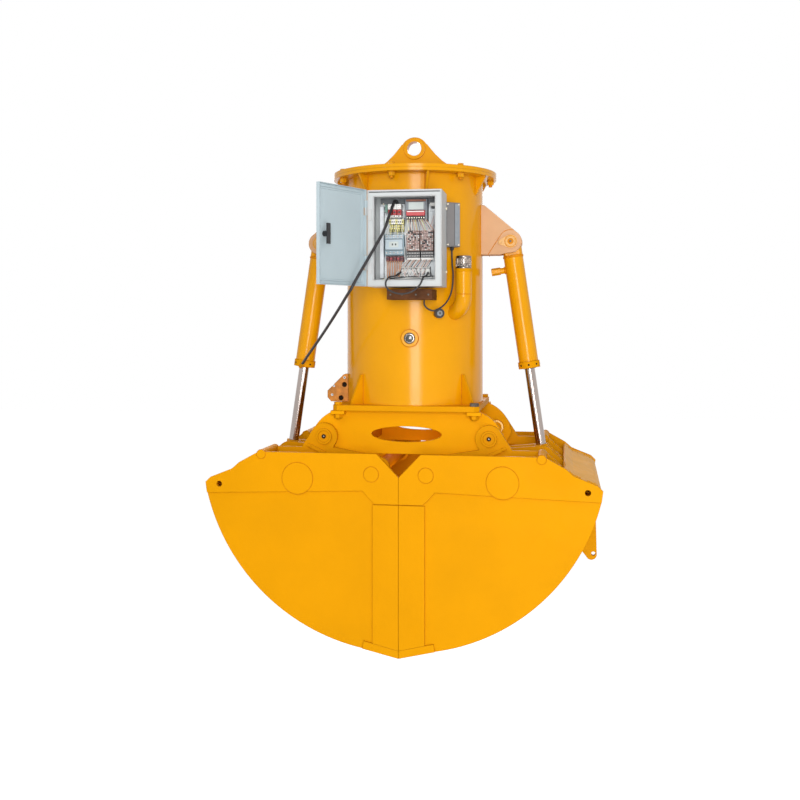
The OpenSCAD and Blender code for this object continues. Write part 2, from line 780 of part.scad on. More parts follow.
// Cable sweep: points on a smooth curve through a route, then rings round them
function knot(p, i) = p[max(0, min(len(p) - 1, i))];
function smooth(p, i, t) = let(a = knot(p, i - 1), b = knot(p, i), c = knot(p, i + 1), d = knot(p, i + 2))
    0.5 * (2 * b + (c - a) * t + (2 * a - 5 * b + 4 * c - d) * t * t + (3 * b - a - 3 * c + d) * t * t * t);
function curve(p, n) = concat([for (i = [0:len(p) - 2], k = [0:n - 1]) smooth(p, i, k / n)], [p[len(p) - 1]]);
function unit(v) = v / norm(v);
function rings(c, r, ref, sides) = [for (i = [0:len(c) - 1])
    let(t = unit(c[min(i + 1, len(c) - 1)] - c[max(i - 1, 0)]), u = unit(cross(ref, t)), v = cross(t, u))
    [for (k = [0:sides - 1]) c[i] + r * (cos(360 * k / sides) * u + sin(360 * k / sides) * v)]];

module cable(route, d, ref, steps, sides = 8) {
    r = rings(curve(route, steps), d / 2, ref, sides);
    n = len(r);
    polyhedron(points = [for (ring = r, p = ring) p], faces = concat(
        [[for (k = [0:sides - 1]) k]],
        [for (i = [0:n - 2], k = [0:sides - 1]) let(a = i * sides + k, b = i * sides + (k + 1) % sides)
            each [[a, a + sides, b], [b, a + sides, b + sides]]],
        [[for (k = [sides - 1:-1:0]) (n - 1) * sides + k]]));
}

// Routes of the leads
supply_route = [[-27, -335.3, -279], [-27, -372, -279], [-29, -412, -288], [-40, -462, -345], [-58, -507,
    -419],
    [-110, -562, -530], [-152, -606, -618],
    [-170, -614, -655], [-192, -584, -678], [-240, -509, -728], [-310, -398, -797], [-385, -278, -867],
    [-455, -166, -929], [-492, -102, -962], [-506, -78, -974]];
junction_route = [[198, -280, -466.3], [198, -281, -484], [201, -292, -541], [206, -304, -589], [203,
    -322, -648],
    [190, -338, -689], [168, -350, -718], [134, -358, -737], [108, -361, -731], [92, -362, -714], [91,
        -362, -692.3]];
loop_route = [[-4, -378.6, -578], [-4, -394, -578], [-10, -420, -586], [-18, -446, -595], [-24, -474, -598],
    [-36, -506, -604], [-46, -519, -626], [-38, -521, -650],
    [-8, -522, -667], [30, -522, -671], [66, -520, -660], [94, -516, -634], [106, -507, -605], [113, -476,
        -597],
    [113, -440, -590], [110, -394, -580], [110, -378.6, -580]];

module supply_lead() { color("dimgray") cable(supply_route, lead_d, [1, 0.4, 0.2], 3); }

module small_leads() {
    color("black") {
        cable(junction_route, small_lead_d, [0, 1, 0.1], 3);
        cable(loop_route, small_lead_d, [0.1, 1, 0.1], 3);
    }
}

// Lower frame
oval_drop = 101;
shoulder_drop = 159;
oval_z = base_low - oval_drop;
shoulder_z = base_low - shoulder_drop;

module cheek_outline() {
    corner = 24;
    difference() {
        intersection() {
            union() {
                for (s = [-1, 1])
                    translate([s * (frame_half_w - shoulder_r), shoulder_z])
                        circle(shoulder_r, $fn = large_fn);
                translate([shoulder_r - frame_half_w, frame_low])
                    square([2 * (frame_half_w - shoulder_r), frame_h - seat_gap]);
            }
            polygon([[-frame_half_w - cut, base_low - seat_gap], [frame_half_w + cut, base_low - seat_gap],
                [frame_half_w + cut, frame_low + 2 * corner], [frame_half_w - corner, frame_low],
                [corner - frame_half_w, frame_low], [-frame_half_w - cut, frame_low + 2 * corner]]);
        }
        translate([0, oval_z]) polygon([for (a = [0:7.5:352.5]) [oval_w / 2 * cos(a), oval_h / 2 * sin(a)]]);
        for (s = [-1, 1]) translate([s * pivot_x, pivot_z])
            circle(pivot_pin_r + bush_wall + run_gap, $fn = round_fn);
    }
}

module frame_cheeks() {
    color("orange") {
        front_and_rear(frame_gap / 2, frame_plate_t) cheek_outline();
        // Pads under the base plate's corners for its bolts
        difference() {
            for (sx = [-1, 1], sy = [-1, 1])
                translate([sx * base_bolt_shares[0][0] * base_w / 2 - base_corner / 2,
                           sy > 0 ? cheek_out : -cheek_out - pad_d, base_low - pad_t])
                    cube([base_corner, pad_d, pad_t - seat_gap]);
            for (s = base_bolt_shares)
                translate([s[0] * base_w / 2, s[1] * base_d / 2, base_low - pad_t - cut])
                    cylinder(h = pad_t + 2 * cut, d = base_bolt_d + cut, $fn = fine);
        }
    }
}

cross_x = 205;
cross_t = 16;

module frame_crossmembers() {
    color("orange") for (s = [-1, 1])
        translate([s * cross_x - cross_t / 2, seat_gap - frame_gap / 2, frame_low + base_t])
            cube([cross_t, frame_gap - 2 * seat_gap, frame_h - base_t - seat_gap]);
}

bush_proud = 34;
bush_in = frame_gap / 2 - bush_proud;

module pivot_bushes() {
    color("goldenrod") for (s = [-1, 1]) difference() {
        bars(s * pivot_x, pivot_z, pivot_pin_r + bush_wall, bush_in, cheek_out);
        bars(s * pivot_x, pivot_z, pivot_pin_r + run_gap, bush_in - cut, cheek_out + cut);
    }
}

// Cylinder geometry: drawn hanging straight down from the upper pin, then tilted to the jaw's lug
lug_z = pivot_z - lug_drop;
cyl_tilt = atan2(lug_x - cyl_pin_x, cyl_pin_z - lug_z);
cyl_len = norm([lug_x - cyl_pin_x, cyl_pin_z - lug_z]);
eye_play = 6;
eye_w = bracket_gap - eye_play;
gland_h = 30;
gland_r = 48;
gland_in = 44;
piston_h = 46;
rod_eye_r = 48;
rod_eye_w = 48;
rod_eye_play = 15;
barrel_top_gap = 10;
barrel_top = -(barrel_r + barrel_top_gap);
barrel_end = gland_h - barrel_len;

module on_cylinder() { translate([cyl_pin_x, 0, cyl_pin_z]) rotate([0, -cyl_tilt, 0]) children(); }

module barrel() {
    head_t = 32;
    port_drop = 68;
    port_z = barrel_top - port_drop;
    stub_l = 40;
    stub_r = 14;
    nut_r = 17;
    nut_out = 62;
    stub_out = 24;
    port_bore_r = 8;
    color("orange") on_cylinder() difference() {
        union() {
            bar(0, 0, 0.92 * barrel_r, -eye_w / 2, eye_w / 2);
            translate([0, 0, barrel_end + seat_gap]) cylinder(h = -barrel_end - seat_gap, r = barrel_r,
                $fn = round_fn);
            // Port elbow on the side towards the tank
            translate([-barrel_r - stub_out, 0, port_z]) rotate([0, 90, 0])
                cylinder(h = stub_l, r = stub_r, $fn = fine);
            translate([-barrel_r - nut_out, 0, port_z]) rotate([0, 90, 0])
                cylinder(h = stub_l, r = nut_r, $fn = 6);
        }
        bar(0, 0, cyl_pin_r + run_gap, -eye_w, eye_w);
        for (s = [-1, 1]) translate([-barrel_r - cut, s > 0 ? eye_w / 2 : -eye_w / 2 - barrel_r,
            -1.5 * barrel_r])
            cube([2 * barrel_r + 2 * cut, barrel_r, 2.5 * barrel_r]);
        translate([0, 0, barrel_end - cut]) cylinder(h = barrel_top - head_t - barrel_end + cut,
            r = bore_r, $fn = round_fn);
        translate([-barrel_r - nut_out - cut, 0, port_z]) rotate([0, 90, 0])
            cylinder(h = 1.25 * stub_l, r = port_bore_r, $fn = fine);
    }
}

module gland() {
    color("orange") on_cylinder() {
        difference() {
            union() {
                translate([0, 0, -barrel_len]) cylinder(h = gland_h, r = gland_r, $fn = round_fn);
                translate([0, 0, barrel_end - cut]) cylinder(h = gland_in, r = bore_r - run_gap,
                    $fn = round_fn);
            }
            translate([0, 0, -barrel_len - cut])
                cylinder(h = gland_h + gland_in + 2 * cut, r = rod_r + run_gap, $fn = round_fn);
        }
    }
}

// Clip on the left gland that holds the end of the supply lead
clip_r = 9;

module lead_clip() {
    end = supply_route[len(supply_route) - 1];
    way = unit(end - supply_route[len(supply_route) - 2]);
    translate(end + seat_gap * way) rotate([0, acos(way[2]), atan2(way[1], way[0])])
        cylinder(h = 4.2 * clip_r, r = clip_r, $fn = fine);
}

piston_gap = 12;
piston_z = barrel_end + gland_in + piston_gap;

module piston() {
    color("silver") on_cylinder() difference() {
        translate([0, 0, piston_z]) cylinder(h = piston_h, r = bore_r - run_gap, $fn = round_fn);
        translate([0, 0, piston_z - cut])
            cylinder(h = piston_h + 2 * cut, r = rod_r * 0.6 + run_gap, $fn = round_fn);
    }
}

socket_h = 8;
socket_wall = 9;
socket_floor = 1.7;
rod_seat = 2;

module rod() {
    low = rod_eye_r + rod_seat - cyl_len;
    color("silver") on_cylinder() {
        translate([0, 0, low]) cylinder(h = piston_z - seat_gap - low, r = rod_r, $fn = round_fn);
        translate([0, 0, piston_z - cut]) cylinder(h = piston_h + piston_gap, r = rod_r * 0.6,
            $fn = round_fn);
    }
}

module rod_eye() {
    color("orange") on_cylinder() translate([0, 0, -cyl_len]) difference() {
        union() {
            bar(0, 0, rod_eye_r, -rod_eye_w / 2, rod_eye_w / 2);
            cylinder(h = rod_eye_r + socket_h, r = rod_r + socket_wall, $fn = round_fn);
        }
        bar(0, 0, cyl_pin_r + rod_eye_play, -rod_eye_w, rod_eye_w);
        translate([0, 0, rod_eye_r + socket_floor]) cylinder(h = 2 * socket_h, r = rod_r + run_gap,
            $fn = round_fn);
    }
}

// Jaw outlines, for the right jaw
brow_shares = [[0.358, 0.344], [0.498, 0.557], [0.908, 0.840]];
tip = [jaw_tip_half, jaw_top - jaw_tip_drop];
heel_drop = 40;
heel_z = tip[1] - heel_drop;
heel = on_skin(heel_z, skin_r);
lip_z = skin_z - sqrt(skin_r * skin_r - lip_w * lip_w);
brow = [for (s = brow_shares)
    [jaw_top_half + s[0] * (jaw_tip_half - jaw_top_half), jaw_top - s[1] * jaw_tip_drop]];
top_edge = concat([[notch_half + seam_gap, jaw_top], [jaw_top_half, jaw_top]], brow, [tip, heel]);
tube_from_pivot = [68, -154];
inner_from_pivot = [-243, -131];
corner_from_pivot = [224, -57];
tip_hole_from_pivot = [406, -185];
tube_at = [pivot_x, pivot_z] + tube_from_pivot;
inner_tube_at = [pivot_x, pivot_z] + inner_from_pivot;
corner_tube_at = [pivot_x, pivot_z] + corner_from_pivot;
tip_hole_at = [pivot_x, pivot_z] + tip_hole_from_pivot;

module lip_outline() {
    k = (skin_r - lip_t) / skin_r;
    polygon([[lip_w, lip_z], [seam_gap, jaw_low], [seam_gap, jaw_low + lip_t],
             [k * lip_w, skin_z + k * (lip_z - skin_z)]]);
}

module side_outline() {
    difference() {
        union() {
            polygon(concat([[seam_gap, jaw_top - notch_depth]], top_edge, [[seam_gap, heel_z]]));
            intersection() {
                translate([0, skin_z]) circle(skin_r, $fn = large_fn);
                translate([seam_gap, jaw_low]) square([2 * skin_r, heel_z - jaw_low + seat_gap]);
            }
        }
        translate([0, -seat_gap]) lip_outline();
        translate([0, seat_gap]) lip_outline();
        polygon([[0, jaw_low - cut], [lip_w, jaw_low - cut], [lip_w, lip_z], [0, jaw_low]]);
    }
}

// Doubler over the upper part of a side plate
doubler_h = 153;
doubler_mid_h = 206;
doubler_low = jaw_top - doubler_h;
doubler_mid_low = jaw_top - doubler_mid_h;
doubler_fall = 24;
doubler_step = 33;
strip_w = 108;
strip_gap = 3;

module doubler_outline() {
    intersection() {
        side_outline();
        union() {
            polygon([[0, jaw_top + cut], [skin_r, jaw_top + cut], [skin_r, doubler_low - doubler_fall],
                     [lip_w, doubler_low], [0.8 * lip_w, doubler_low - doubler_step], [0.66 * lip_w,
                         doubler_mid_low], [0, doubler_mid_low]]);
            translate([0, jaw_low]) square([strip_w, doubler_mid_low - strip_gap - jaw_low]);
        }
    }
}

module side_holes() {
    translate(tube_at) circle(tube_r + seat_gap, $fn = round_fn);
    translate(inner_tube_at) circle(inner_tube_r + seat_gap, $fn = round_fn);
    translate(corner_tube_at) circle(corner_tube_r + seat_gap, $fn = round_fn);
    translate(tip_hole_at) circle(tip_hole_r, $fn = round_fn);
}

module jaw_sides() {
    color("orange") for (m = [0, 1]) mirror([0, m, 0]) {
        plate(side_in, side_t) difference() { side_outline(); side_holes(); }
        plate(side_in + side_t, doubler_t) difference() { doubler_outline(); side_holes(); }
    }
}

module skin_outline() {
    a = atan2(heel_z - skin_z, heel[0]);
    b = atan2(lip_z - skin_z, lip_w);
    k = 1.4 * skin_r;
    intersection() {
        translate([0, skin_z]) difference() {
            circle(skin_r, $fn = large_fn);
            circle(skin_r - skin_t, $fn = large_fn);
        }
        translate([0, skin_z]) polygon([[0, 0], polar(k, b + 0.03), polar(k, (a + b) / 2), polar(k, a)]);
    }
}

fin_reach = 812;
fin_nose_drop = 512;
fin_out = [fin_reach, skin_z - fin_nose_drop];
fin_hole_r = 9;
fin_nose_r = 24;
fin_top_drop = 300;
fin_low_drop = 445;
fin_edge = [-4, -40];
fin_hole_from_nose = [9, 4];

module fin_outline() {
    p = on_skin(skin_z - fin_top_drop, skin_r - skin_t / 2);
    q = on_skin(skin_z - fin_low_drop, skin_r - skin_t / 2);
    c = fin_out - [fin_nose_r, 0];
    difference() {
        union() {
            polygon([p, [fin_out[0], p[1]] + fin_edge, fin_out, c, c + polar(fin_nose_r, 205), q]);
            translate(c) circle(fin_nose_r, $fn = round_fn);
        }
        translate(c + fin_hole_from_nose) circle(fin_hole_r, $fn = round_fn);
    }
}

module jaw_skin() {
    w = side_in - seat_gap;
    color("orange") {
        plate(-w, 2 * w) skin_outline();
        difference() {
            plate(-fin_t / 2, fin_t) fin_outline();
            translate([0, fin_t, skin_z]) rotate([90, 0, 0])
                cylinder(h = 2 * fin_t, r = skin_r - skin_t / 2, $fn = large_fn);
        }
    }
}

module jaw_lip() { color("orange") plate(-jaw_w / 2, jaw_w) lip_outline(); }

// Clearances of the hinge plates under the top edge and the tip
hinge_top_gap = 30;
hinge_tip_drop = 75;

module hinge_outline() {
    inside = skin_r - skin_t - seat_gap;
    difference() {
        intersection() {
            union() {
                translate([pivot_x, pivot_z]) circle(ear_r, $fn = round_fn);
                polygon([[pivot_x - ear_r, pivot_z], [pivot_x - 0.72 * ear_r, jaw_top],
                    [inner_tube_at[0] + inner_tube_r, jaw_top - hinge_top_gap], inner_tube_at,
                        [inner_tube_at[0] + inner_tube_r, doubler_low], tube_at - [tube_r, 1.4 * tube_r],
                    [jaw_top_half, tube_at[1] - 2.4 * tube_r], [jaw_tip_half, tube_at[1] - 4 * tube_r],
                    [jaw_tip_half, tip[1] - hinge_tip_drop], brow[1] - [0, hinge_top_gap], brow[0] - [0,
                        hinge_top_gap],
                    [jaw_top_half, jaw_top - seat_gap], [pivot_x + 1.7 * ear_r, jaw_top],
                    [pivot_x + 0.8 * ear_r, pivot_z + 0.6 * ear_r]]);
                translate(inner_tube_at) circle(1.45 * inner_tube_r, $fn = round_fn);
            }
            translate([0, skin_z]) circle(inside, $fn = large_fn);
        }
        translate([pivot_x, pivot_z]) circle(pivot_pin_r + run_gap, $fn = round_fn);
        translate(tube_at) circle(tube_r + seat_gap, $fn = round_fn);
        translate(inner_tube_at) circle(inner_tube_r + seat_gap, $fn = round_fn);
        translate(corner_tube_at) circle(corner_tube_r + seat_gap, $fn = round_fn);
    }
}

boss_r = 34;
boss_t = 8;

module jaw_hinge_plates() {
    color("orange") {
        front_and_rear(hinge_in, hinge_t) hinge_outline();
        // Raised rings round the pivot pins
        for (m = [0, 1]) mirror([0, m, 0]) plate(hinge_out, boss_t) difference() {
            translate([pivot_x, pivot_z]) circle(boss_r, $fn = round_fn);
            translate([pivot_x, pivot_z]) circle(pivot_pin_r + run_gap, $fn = round_fn);
        }
    }
}

tube_wall = 8;
tube_proud = 2;

module jaw_tubes() {
    end = jaw_w / 2 + tube_proud;
    color("orange") {
        difference() {
            bar(tube_at[0], tube_at[1], tube_r, -end, end);
            bar(tube_at[0], tube_at[1], tube_r - tube_wall, -end + tube_wall, end - tube_wall);
            translate([tube_at[0], 0, tube_at[1] - 2 * tube_r])
                cylinder(h = 2 * tube_r, r = tube_wall / 2, $fn = fine);
        }
        bar(inner_tube_at[0], inner_tube_at[1], inner_tube_r, -end, end);
        bars(corner_tube_at[0], corner_tube_at[1], corner_tube_r, hinge_in, end);
    }
}

// Outline of the sloping top sheet, bent down at the tip
module top_sheet_outline() {
    recess = 5;
    start = brow[0] - [0, recess];
    k = (skin_r - skin_t) / skin_r;
    end = [k * heel[0], skin_z + k * (heel_z - skin_z) + seat_gap];
    outer = concat([start], [for (i = [1, 2]) brow[i] - [0, recess]], [tip - [recess, recess]]);
    polygon(concat(outer, [heel + [0, seat_gap], end], [for (i = [3:-1:0]) outer[i] - [sheet_t, sheet_t]]));
}

module jaw_top_sheet() {
    w = side_in - seat_gap;
    slot_l = 46;
    slot_w = 34;
    slot_shares = [0.30, 0.86];
    color("orange") difference() {
        plate(-w, 2 * w) top_sheet_outline();
        // Two slots beside each side plate
        for (s = [-1, 1], p = slot_shares)
            translate([brow[0][0] + p * (brow[2][0] - brow[0][0])
                - slot_l / 2, s > 0 ? w - 2 * slot_w : slot_w - w,
                       brow[2][1] - slot_l])
                cube([slot_l, slot_w, 4 * slot_l]);
    }
}

// Plates that hold the rod eye
lug_gap = 66;
lug_t2 = 22;
lug_mid = lug_gap / 2 + lug_t2 / 2;
rod_lug_r = 54;
lug_rim = 22;
lug_tip_drop = 62;
lug_heel_drop = 150;
lug_under = 40;

module rod_lug_outline() {
    pin = [lug_x, lug_z];
    inside = skin_r - skin_t - seat_gap;
    difference() {
        intersection() {
            union() {
                link(tube_at, tube_r + lug_rim, pin, rod_lug_r);
                polygon([tube_at - [0, tube_r], pin + polar(rod_lug_r, 30), [jaw_tip_half,
                    tip[1] - lug_tip_drop],
                    [jaw_tip_half, tip[1] - lug_heel_drop], tube_at - [-tube_r, tube_r + lug_under]]);
            }
            translate([0, skin_z]) circle(inside, $fn = large_fn);
        }
        translate(tube_at) circle(tube_r + seat_gap, $fn = round_fn);
        translate(pin) circle(cyl_pin_r + run_gap, $fn = round_fn);
    }
}

module jaw_rod_lug() { color("orange") front_and_rear(lug_gap / 2, lug_t2) rod_lug_outline(); }

module jaw_pins() {
    pin_inset = 3;
    keeper_at = [34, -54];
    keeper_l = 84;
    keeper_w = 16;
    color("peru") {
        bars(pivot_x, pivot_z, pivot_pin_r, bush_in, hinge_out + boss_t - pin_inset);
        bar(lug_x, lug_z, cyl_pin_r, -lug_mid - lug_t2, lug_mid + lug_t2);
        // Keeper bars beside the pivot pins
        for (m = [0, 1]) mirror([0, m, 0])
            translate([pivot_x + keeper_at[0], hinge_out + boss_t + seat_gap, pivot_z + keeper_at[1]])
                rotate([90, -25, 0]) translate([-keeper_l / 2, -keeper_w / 2, 0])
                    cube([keeper_l, keeper_w, boss_t]);
    }
}

module mirrored() { mirror([1, 0, 0]) children(); }

module gland_left() {
    color("orange") difference() {
        union() { mirrored() gland(); lead_clip(); }
        mirrored() on_cylinder() translate([0, 0, -barrel_len - cyl_len / 2])
            cylinder(h = cyl_len, r = rod_r + run_gap, $fn = round_fn);
    }
}

lifting_lug();
top_cover();
cover_bolts();
tank_shell();
base_plate();
base_bolts();
cylinder_brackets();
bracket_pins();
motor_housing();
bell_housing();
gear_pump();
suction_strainer();
valve_manifold();
sight_glass();
filler_pipe();
level_switch();
cabinet_box();
cabinet_hinges();
mounting_panel();
contactor();
relay_stacks();
terminal_strips();
meter_relay();
cable_tray();
junction_box();
small_leads();
supply_lead();
frame_cheeks();
frame_crossmembers();
pivot_bushes();
motor_shaft();
breather_cap();
cabinet_door();
door_latch();
barrel();  // barrel_right
mirrored() barrel();  // barrel_left
gland();  // gland_right
gland_left();
piston();  // piston_right
mirrored() piston();  // piston_left
rod();  // rod_right
mirrored() rod();  // rod_left
rod_eye();  // rod_eye_right
mirrored() rod_eye();  // rod_eye_left
jaw_sides();  // jaw_sides_right
mirrored() jaw_sides();  // jaw_sides_left
jaw_skin();  // jaw_skin_right
mirrored() jaw_skin();  // jaw_skin_left
jaw_hinge_plates();  // jaw_hinge_plates_right
mirrored() jaw_hinge_plates();  // jaw_hinge_plates_left
jaw_tubes();  // jaw_tubes_right
mirrored() jaw_tubes();  // jaw_tubes_left
jaw_lip();  // jaw_lip_right
mirrored() jaw_lip();  // jaw_lip_left
jaw_top_sheet();  // jaw_top_sheet_right
mirrored() jaw_top_sheet();  // jaw_top_sheet_left
jaw_rod_lug();  // jaw_rod_lug_right
mirrored() jaw_rod_lug();  // jaw_rod_lug_left
jaw_pins();  // jaw_pins_right
mirrored() jaw_pins();  // jaw_pins_left
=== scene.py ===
import json
import math
import random
from functools import partial
from itertools import product

import bpy
from mathutils import Matrix, Vector


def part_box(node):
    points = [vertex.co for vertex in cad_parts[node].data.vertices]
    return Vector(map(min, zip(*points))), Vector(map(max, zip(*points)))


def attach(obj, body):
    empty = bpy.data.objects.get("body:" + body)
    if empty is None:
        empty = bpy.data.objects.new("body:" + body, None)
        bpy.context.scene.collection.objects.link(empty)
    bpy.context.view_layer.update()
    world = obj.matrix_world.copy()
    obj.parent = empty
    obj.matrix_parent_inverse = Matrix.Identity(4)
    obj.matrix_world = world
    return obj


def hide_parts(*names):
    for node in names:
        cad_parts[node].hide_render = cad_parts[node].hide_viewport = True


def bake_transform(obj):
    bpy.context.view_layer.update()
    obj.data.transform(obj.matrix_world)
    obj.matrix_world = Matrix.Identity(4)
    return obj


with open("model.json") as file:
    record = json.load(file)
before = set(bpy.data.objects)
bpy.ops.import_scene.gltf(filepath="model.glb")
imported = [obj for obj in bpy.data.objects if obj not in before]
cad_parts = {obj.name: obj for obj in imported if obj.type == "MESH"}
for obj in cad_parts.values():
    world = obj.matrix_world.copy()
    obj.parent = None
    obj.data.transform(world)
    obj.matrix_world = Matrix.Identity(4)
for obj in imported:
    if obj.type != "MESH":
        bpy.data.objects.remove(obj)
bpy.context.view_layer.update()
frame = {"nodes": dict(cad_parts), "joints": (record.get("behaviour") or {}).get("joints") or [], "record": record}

# Metres in a millimetre, directions, and the signs of a rectangle's corners in turn
MM = 0.001
UP, BACK = Vector((0, 0, 1)), Vector((0, 1, 0))
CORNERS = ((-1, -1), (1, -1), (1, 1), (-1, 1))


def box_mm(node):
    """Lowest and highest corners of a solid, to a tenth of a millimetre."""
    return [[round(v / MM, 1) for v in corner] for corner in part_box(node)]


def joint(name):
    """A joint of the frame, and its place to a tenth of a millimetre."""
    found = [j for j in frame["joints"] if j["name"] == name][0]
    return found, [round(v / MM, 1) for v in found["pos_m"]]


def new_object(name, data):
    """An object of this data in the scene."""
    made = bpy.data.objects.new(name, data)
    bpy.context.collection.objects.link(made)
    return made


def new_node(tree, kind, **settings):
    """A node of a tree, with its settings."""
    made = tree.nodes.new(kind)
    for key, value in settings.items():
        setattr(made, key, value)
    return made


def bare_tree(owner):
    """The node tree of a material or a world, emptied."""
    owner.use_nodes = True
    owner.node_tree.nodes.clear()
    return owner.node_tree


# Camera at the photograph's viewpoint, with its horizon above the middle of the frame
camera_data = bpy.data.cameras.new("camera")
camera_data.sensor_width = 36
camera_data.lens = 45.9
camera_data.shift_y = -0.0975
camera_data.clip_end = 200
camera = new_object("camera", camera_data)
camera.location = (0.6585, -4.5946, -0.785)
camera.rotation_euler = (math.radians(90), 0, math.radians(9))
bpy.context.scene.camera = camera

# Routes of the leads, in millimetres, as the solids have them
SUPPLY_ROUTE = [(-27, -335.3, -279), (-27, -372, -279), (-29, -412, -288), (-40, -462, -345),
                (-58, -507, -419), (-110, -562, -530), (-152, -606, -618), (-170, -614, -655),
                (-192, -584, -678), (-240, -509, -728), (-310, -398, -797), (-385, -278, -867),
                (-455, -166, -929), (-492, -102, -962), (-506, -78, -974)]
JUNCTION_ROUTE = [(198, -280, -466.3), (198, -281, -484), (201, -292, -541), (206, -304, -589),
                  (203, -322, -648), (190, -338, -689), (168, -350, -718), (134, -358, -737),
                  (108, -361, -731), (92, -362, -714), (91, -362, -692.3)]
LOOP_ROUTE = [(-4, -378.6, -578), (-4, -394, -578), (-10, -420, -586), (-18, -446, -595), (-24, -474, -598),
              (-36, -506, -604), (-46, -519, -626), (-38, -521, -650), (-8, -522, -667), (30, -522, -671),
              (66, -520, -660), (94, -516, -634), (106, -507, -605), (113, -476, -597), (113, -440, -590),
              (110, -394, -580), (110, -378.6, -580)]


def smooth_path(route, steps):
    """Points on the curve that the solid of a lead follows."""
    p = [Vector(q) for q in route]
    path = []
    for i in range(len(p) - 1):
        a, b, c, d = p[max(i - 1, 0)], p[i], p[i + 1], p[min(i + 2, len(p) - 1)]
        for k in range(steps):
            t = k / steps
            path.append(0.5 * (2 * b + (c - a) * t + (2 * a - 5 * b + 4 * c - d) * t * t
                               + (3 * b - a - 3 * c + d) * t ** 3))
    return path + [p[-1]]


# Finishes: the part of a noise's range that is spread out, how far the roughness varies, and where marks
# begin, where they are full and how strong they are
NOISE_LOW, NOISE_HIGH = 0.3, 0.7
SMOOTHER, ROUGHER = 0.85, 1.2
MARK_START, MARK_FULL, MARK_SHARE = 0.72, 0.80, 0.8
# Agreement between softened and true normals at a sharp edge and on a flat face
AT_EDGE, ON_FLAT = 0.80, 0.985


def finish(name, colour, rough, metal=0.0, mottle=0.05, patch=6.0, grain=400.0, bump=0.0, gloss=0.5,
           edge=0.0, marks=None, stretch=(1, 1, 1), line=None):
    """A surface whose colour, roughness and fine relief vary over the piece.

    Edge is the radius of softened edges, line the colour and strength of painted shade along them.
    """
    made = bpy.data.materials.new(name)
    tree = bare_tree(made)
    node, link = partial(new_node, tree), tree.links.new
    out = node("ShaderNodeOutputMaterial")
    body = node("ShaderNodeBsdfPrincipled")
    link(body.outputs[0], out.inputs[0])
    body.inputs["Metallic"].default_value = metal
    body.inputs["Specular IOR Level"].default_value = gloss
    place = node("ShaderNodeTexCoord")
    mapping = node("ShaderNodeMapping")
    mapping.inputs["Scale"].default_value = stretch
    link(place.outputs["Object"], mapping.inputs["Vector"])

    def noise(scale, detail, rough_steps=0.55):
        n = node("ShaderNodeTexNoise")
        n.inputs["Scale"].default_value = scale
        n.inputs["Detail"].default_value = detail
        n.inputs["Roughness"].default_value = rough_steps
        link(mapping.outputs[0], n.inputs["Vector"])
        return n.outputs["Fac"]

    def spread(value, low, high, to_low, to_high):
        n = node("ShaderNodeMapRange")
        for key, number in (("From Min", low), ("From Max", high), ("To Min", to_low), ("To Max", to_high)):
            n.inputs[key].default_value = number
        link(value, n.inputs["Value"])
        return n.outputs[0]

    def blend(factor, a, b):
        n = node("ShaderNodeMix", data_type="RGBA")
        link(factor, n.inputs["Factor"])
        for socket, value in (("A", a), ("B", b)):
            where = [s for s in n.inputs if s.name == socket and s.type == "RGBA"][0]
            if hasattr(value, "links"):
                link(value, where)
            else:
                where.default_value = (*value, 1)
        return [s for s in n.outputs if s.type == "RGBA"][0]

    shade = blend(spread(noise(patch, 4), NOISE_LOW, NOISE_HIGH, 0, 1), [c * (1 - mottle) for c in colour],
                  [min(1, c * (1 + mottle)) for c in colour])
    if marks:
        mark_colour, amount, mark_scale = marks
        marked = spread(noise(mark_scale, 6, 0.7), MARK_START - amount, MARK_FULL - amount, 0, MARK_SHARE)
        shade = blend(marked, shade, mark_colour)
    link(spread(noise(patch * 5, 3), NOISE_LOW, NOISE_HIGH, rough * SMOOTHER, min(1, rough * ROUGHER)),
         body.inputs["Roughness"])
    normal = None
    if edge:
        soft = node("ShaderNodeBevel", samples=6)
        soft.inputs["Radius"].default_value = edge
        normal = soft.outputs[0]
        if line:
            # Painted shade: the colour turns towards the line's colour wherever the softened normal leaves the
            # true one, along every edge
            flat = node("ShaderNodeNewGeometry")
            turn = node("ShaderNodeVectorMath", operation="DOT_PRODUCT")
            link(normal, turn.inputs[0])
            link(flat.outputs["Normal"], turn.inputs[1])
            shade = blend(spread(turn.outputs["Value"], AT_EDGE, ON_FLAT, line[1], 0), shade, line[0])
    link(shade, body.inputs["Base Color"])
    if bump:
        relief = node("ShaderNodeBump")
        relief.inputs["Strength"].default_value = 0.5
        relief.inputs["Distance"].default_value = bump
        link(noise(grain, 2), relief.inputs["Height"])
        if normal:
            link(normal, relief.inputs["Normal"])
        normal = relief.outputs[0]
    if normal:
        link(normal, body.inputs["Normal"])
    return made


# Colours of scuffs, and of the painted shade along the edges of painted steel
SCUFF, EDGE_SHADE = (0.55, 0.2, 0.03), (0.4, 0.13, 0.002)
STEEL_PAINT = dict(mottle=0.045, patch=3.5, grain=260, bump=0.0006, gloss=0.03, edge=0.0034,
                   line=(EDGE_SHADE, 0.75))
orange = finish("orange_paint", (0.66, 0.277, 0.0011), 0.5, marks=(SCUFF, 0.0, 9), **STEEL_PAINT)
tank_paint = finish("tank_paint", (0.7, 0.3, 0.0015), 0.17, mottle=0.045, patch=3.5, grain=120, bump=0.0003,
                    gloss=0.16, edge=0.003, marks=(SCUFF, 0.0, 9), line=(EDGE_SHADE, 0.7))
# A brighter copy of the orange paint for the frame cheeks: painted light
cheek_paint_painted_light = finish("cheek_paint_painted_light", (0.76, 0.325, 0.0011), 0.5, **STEEL_PAINT)
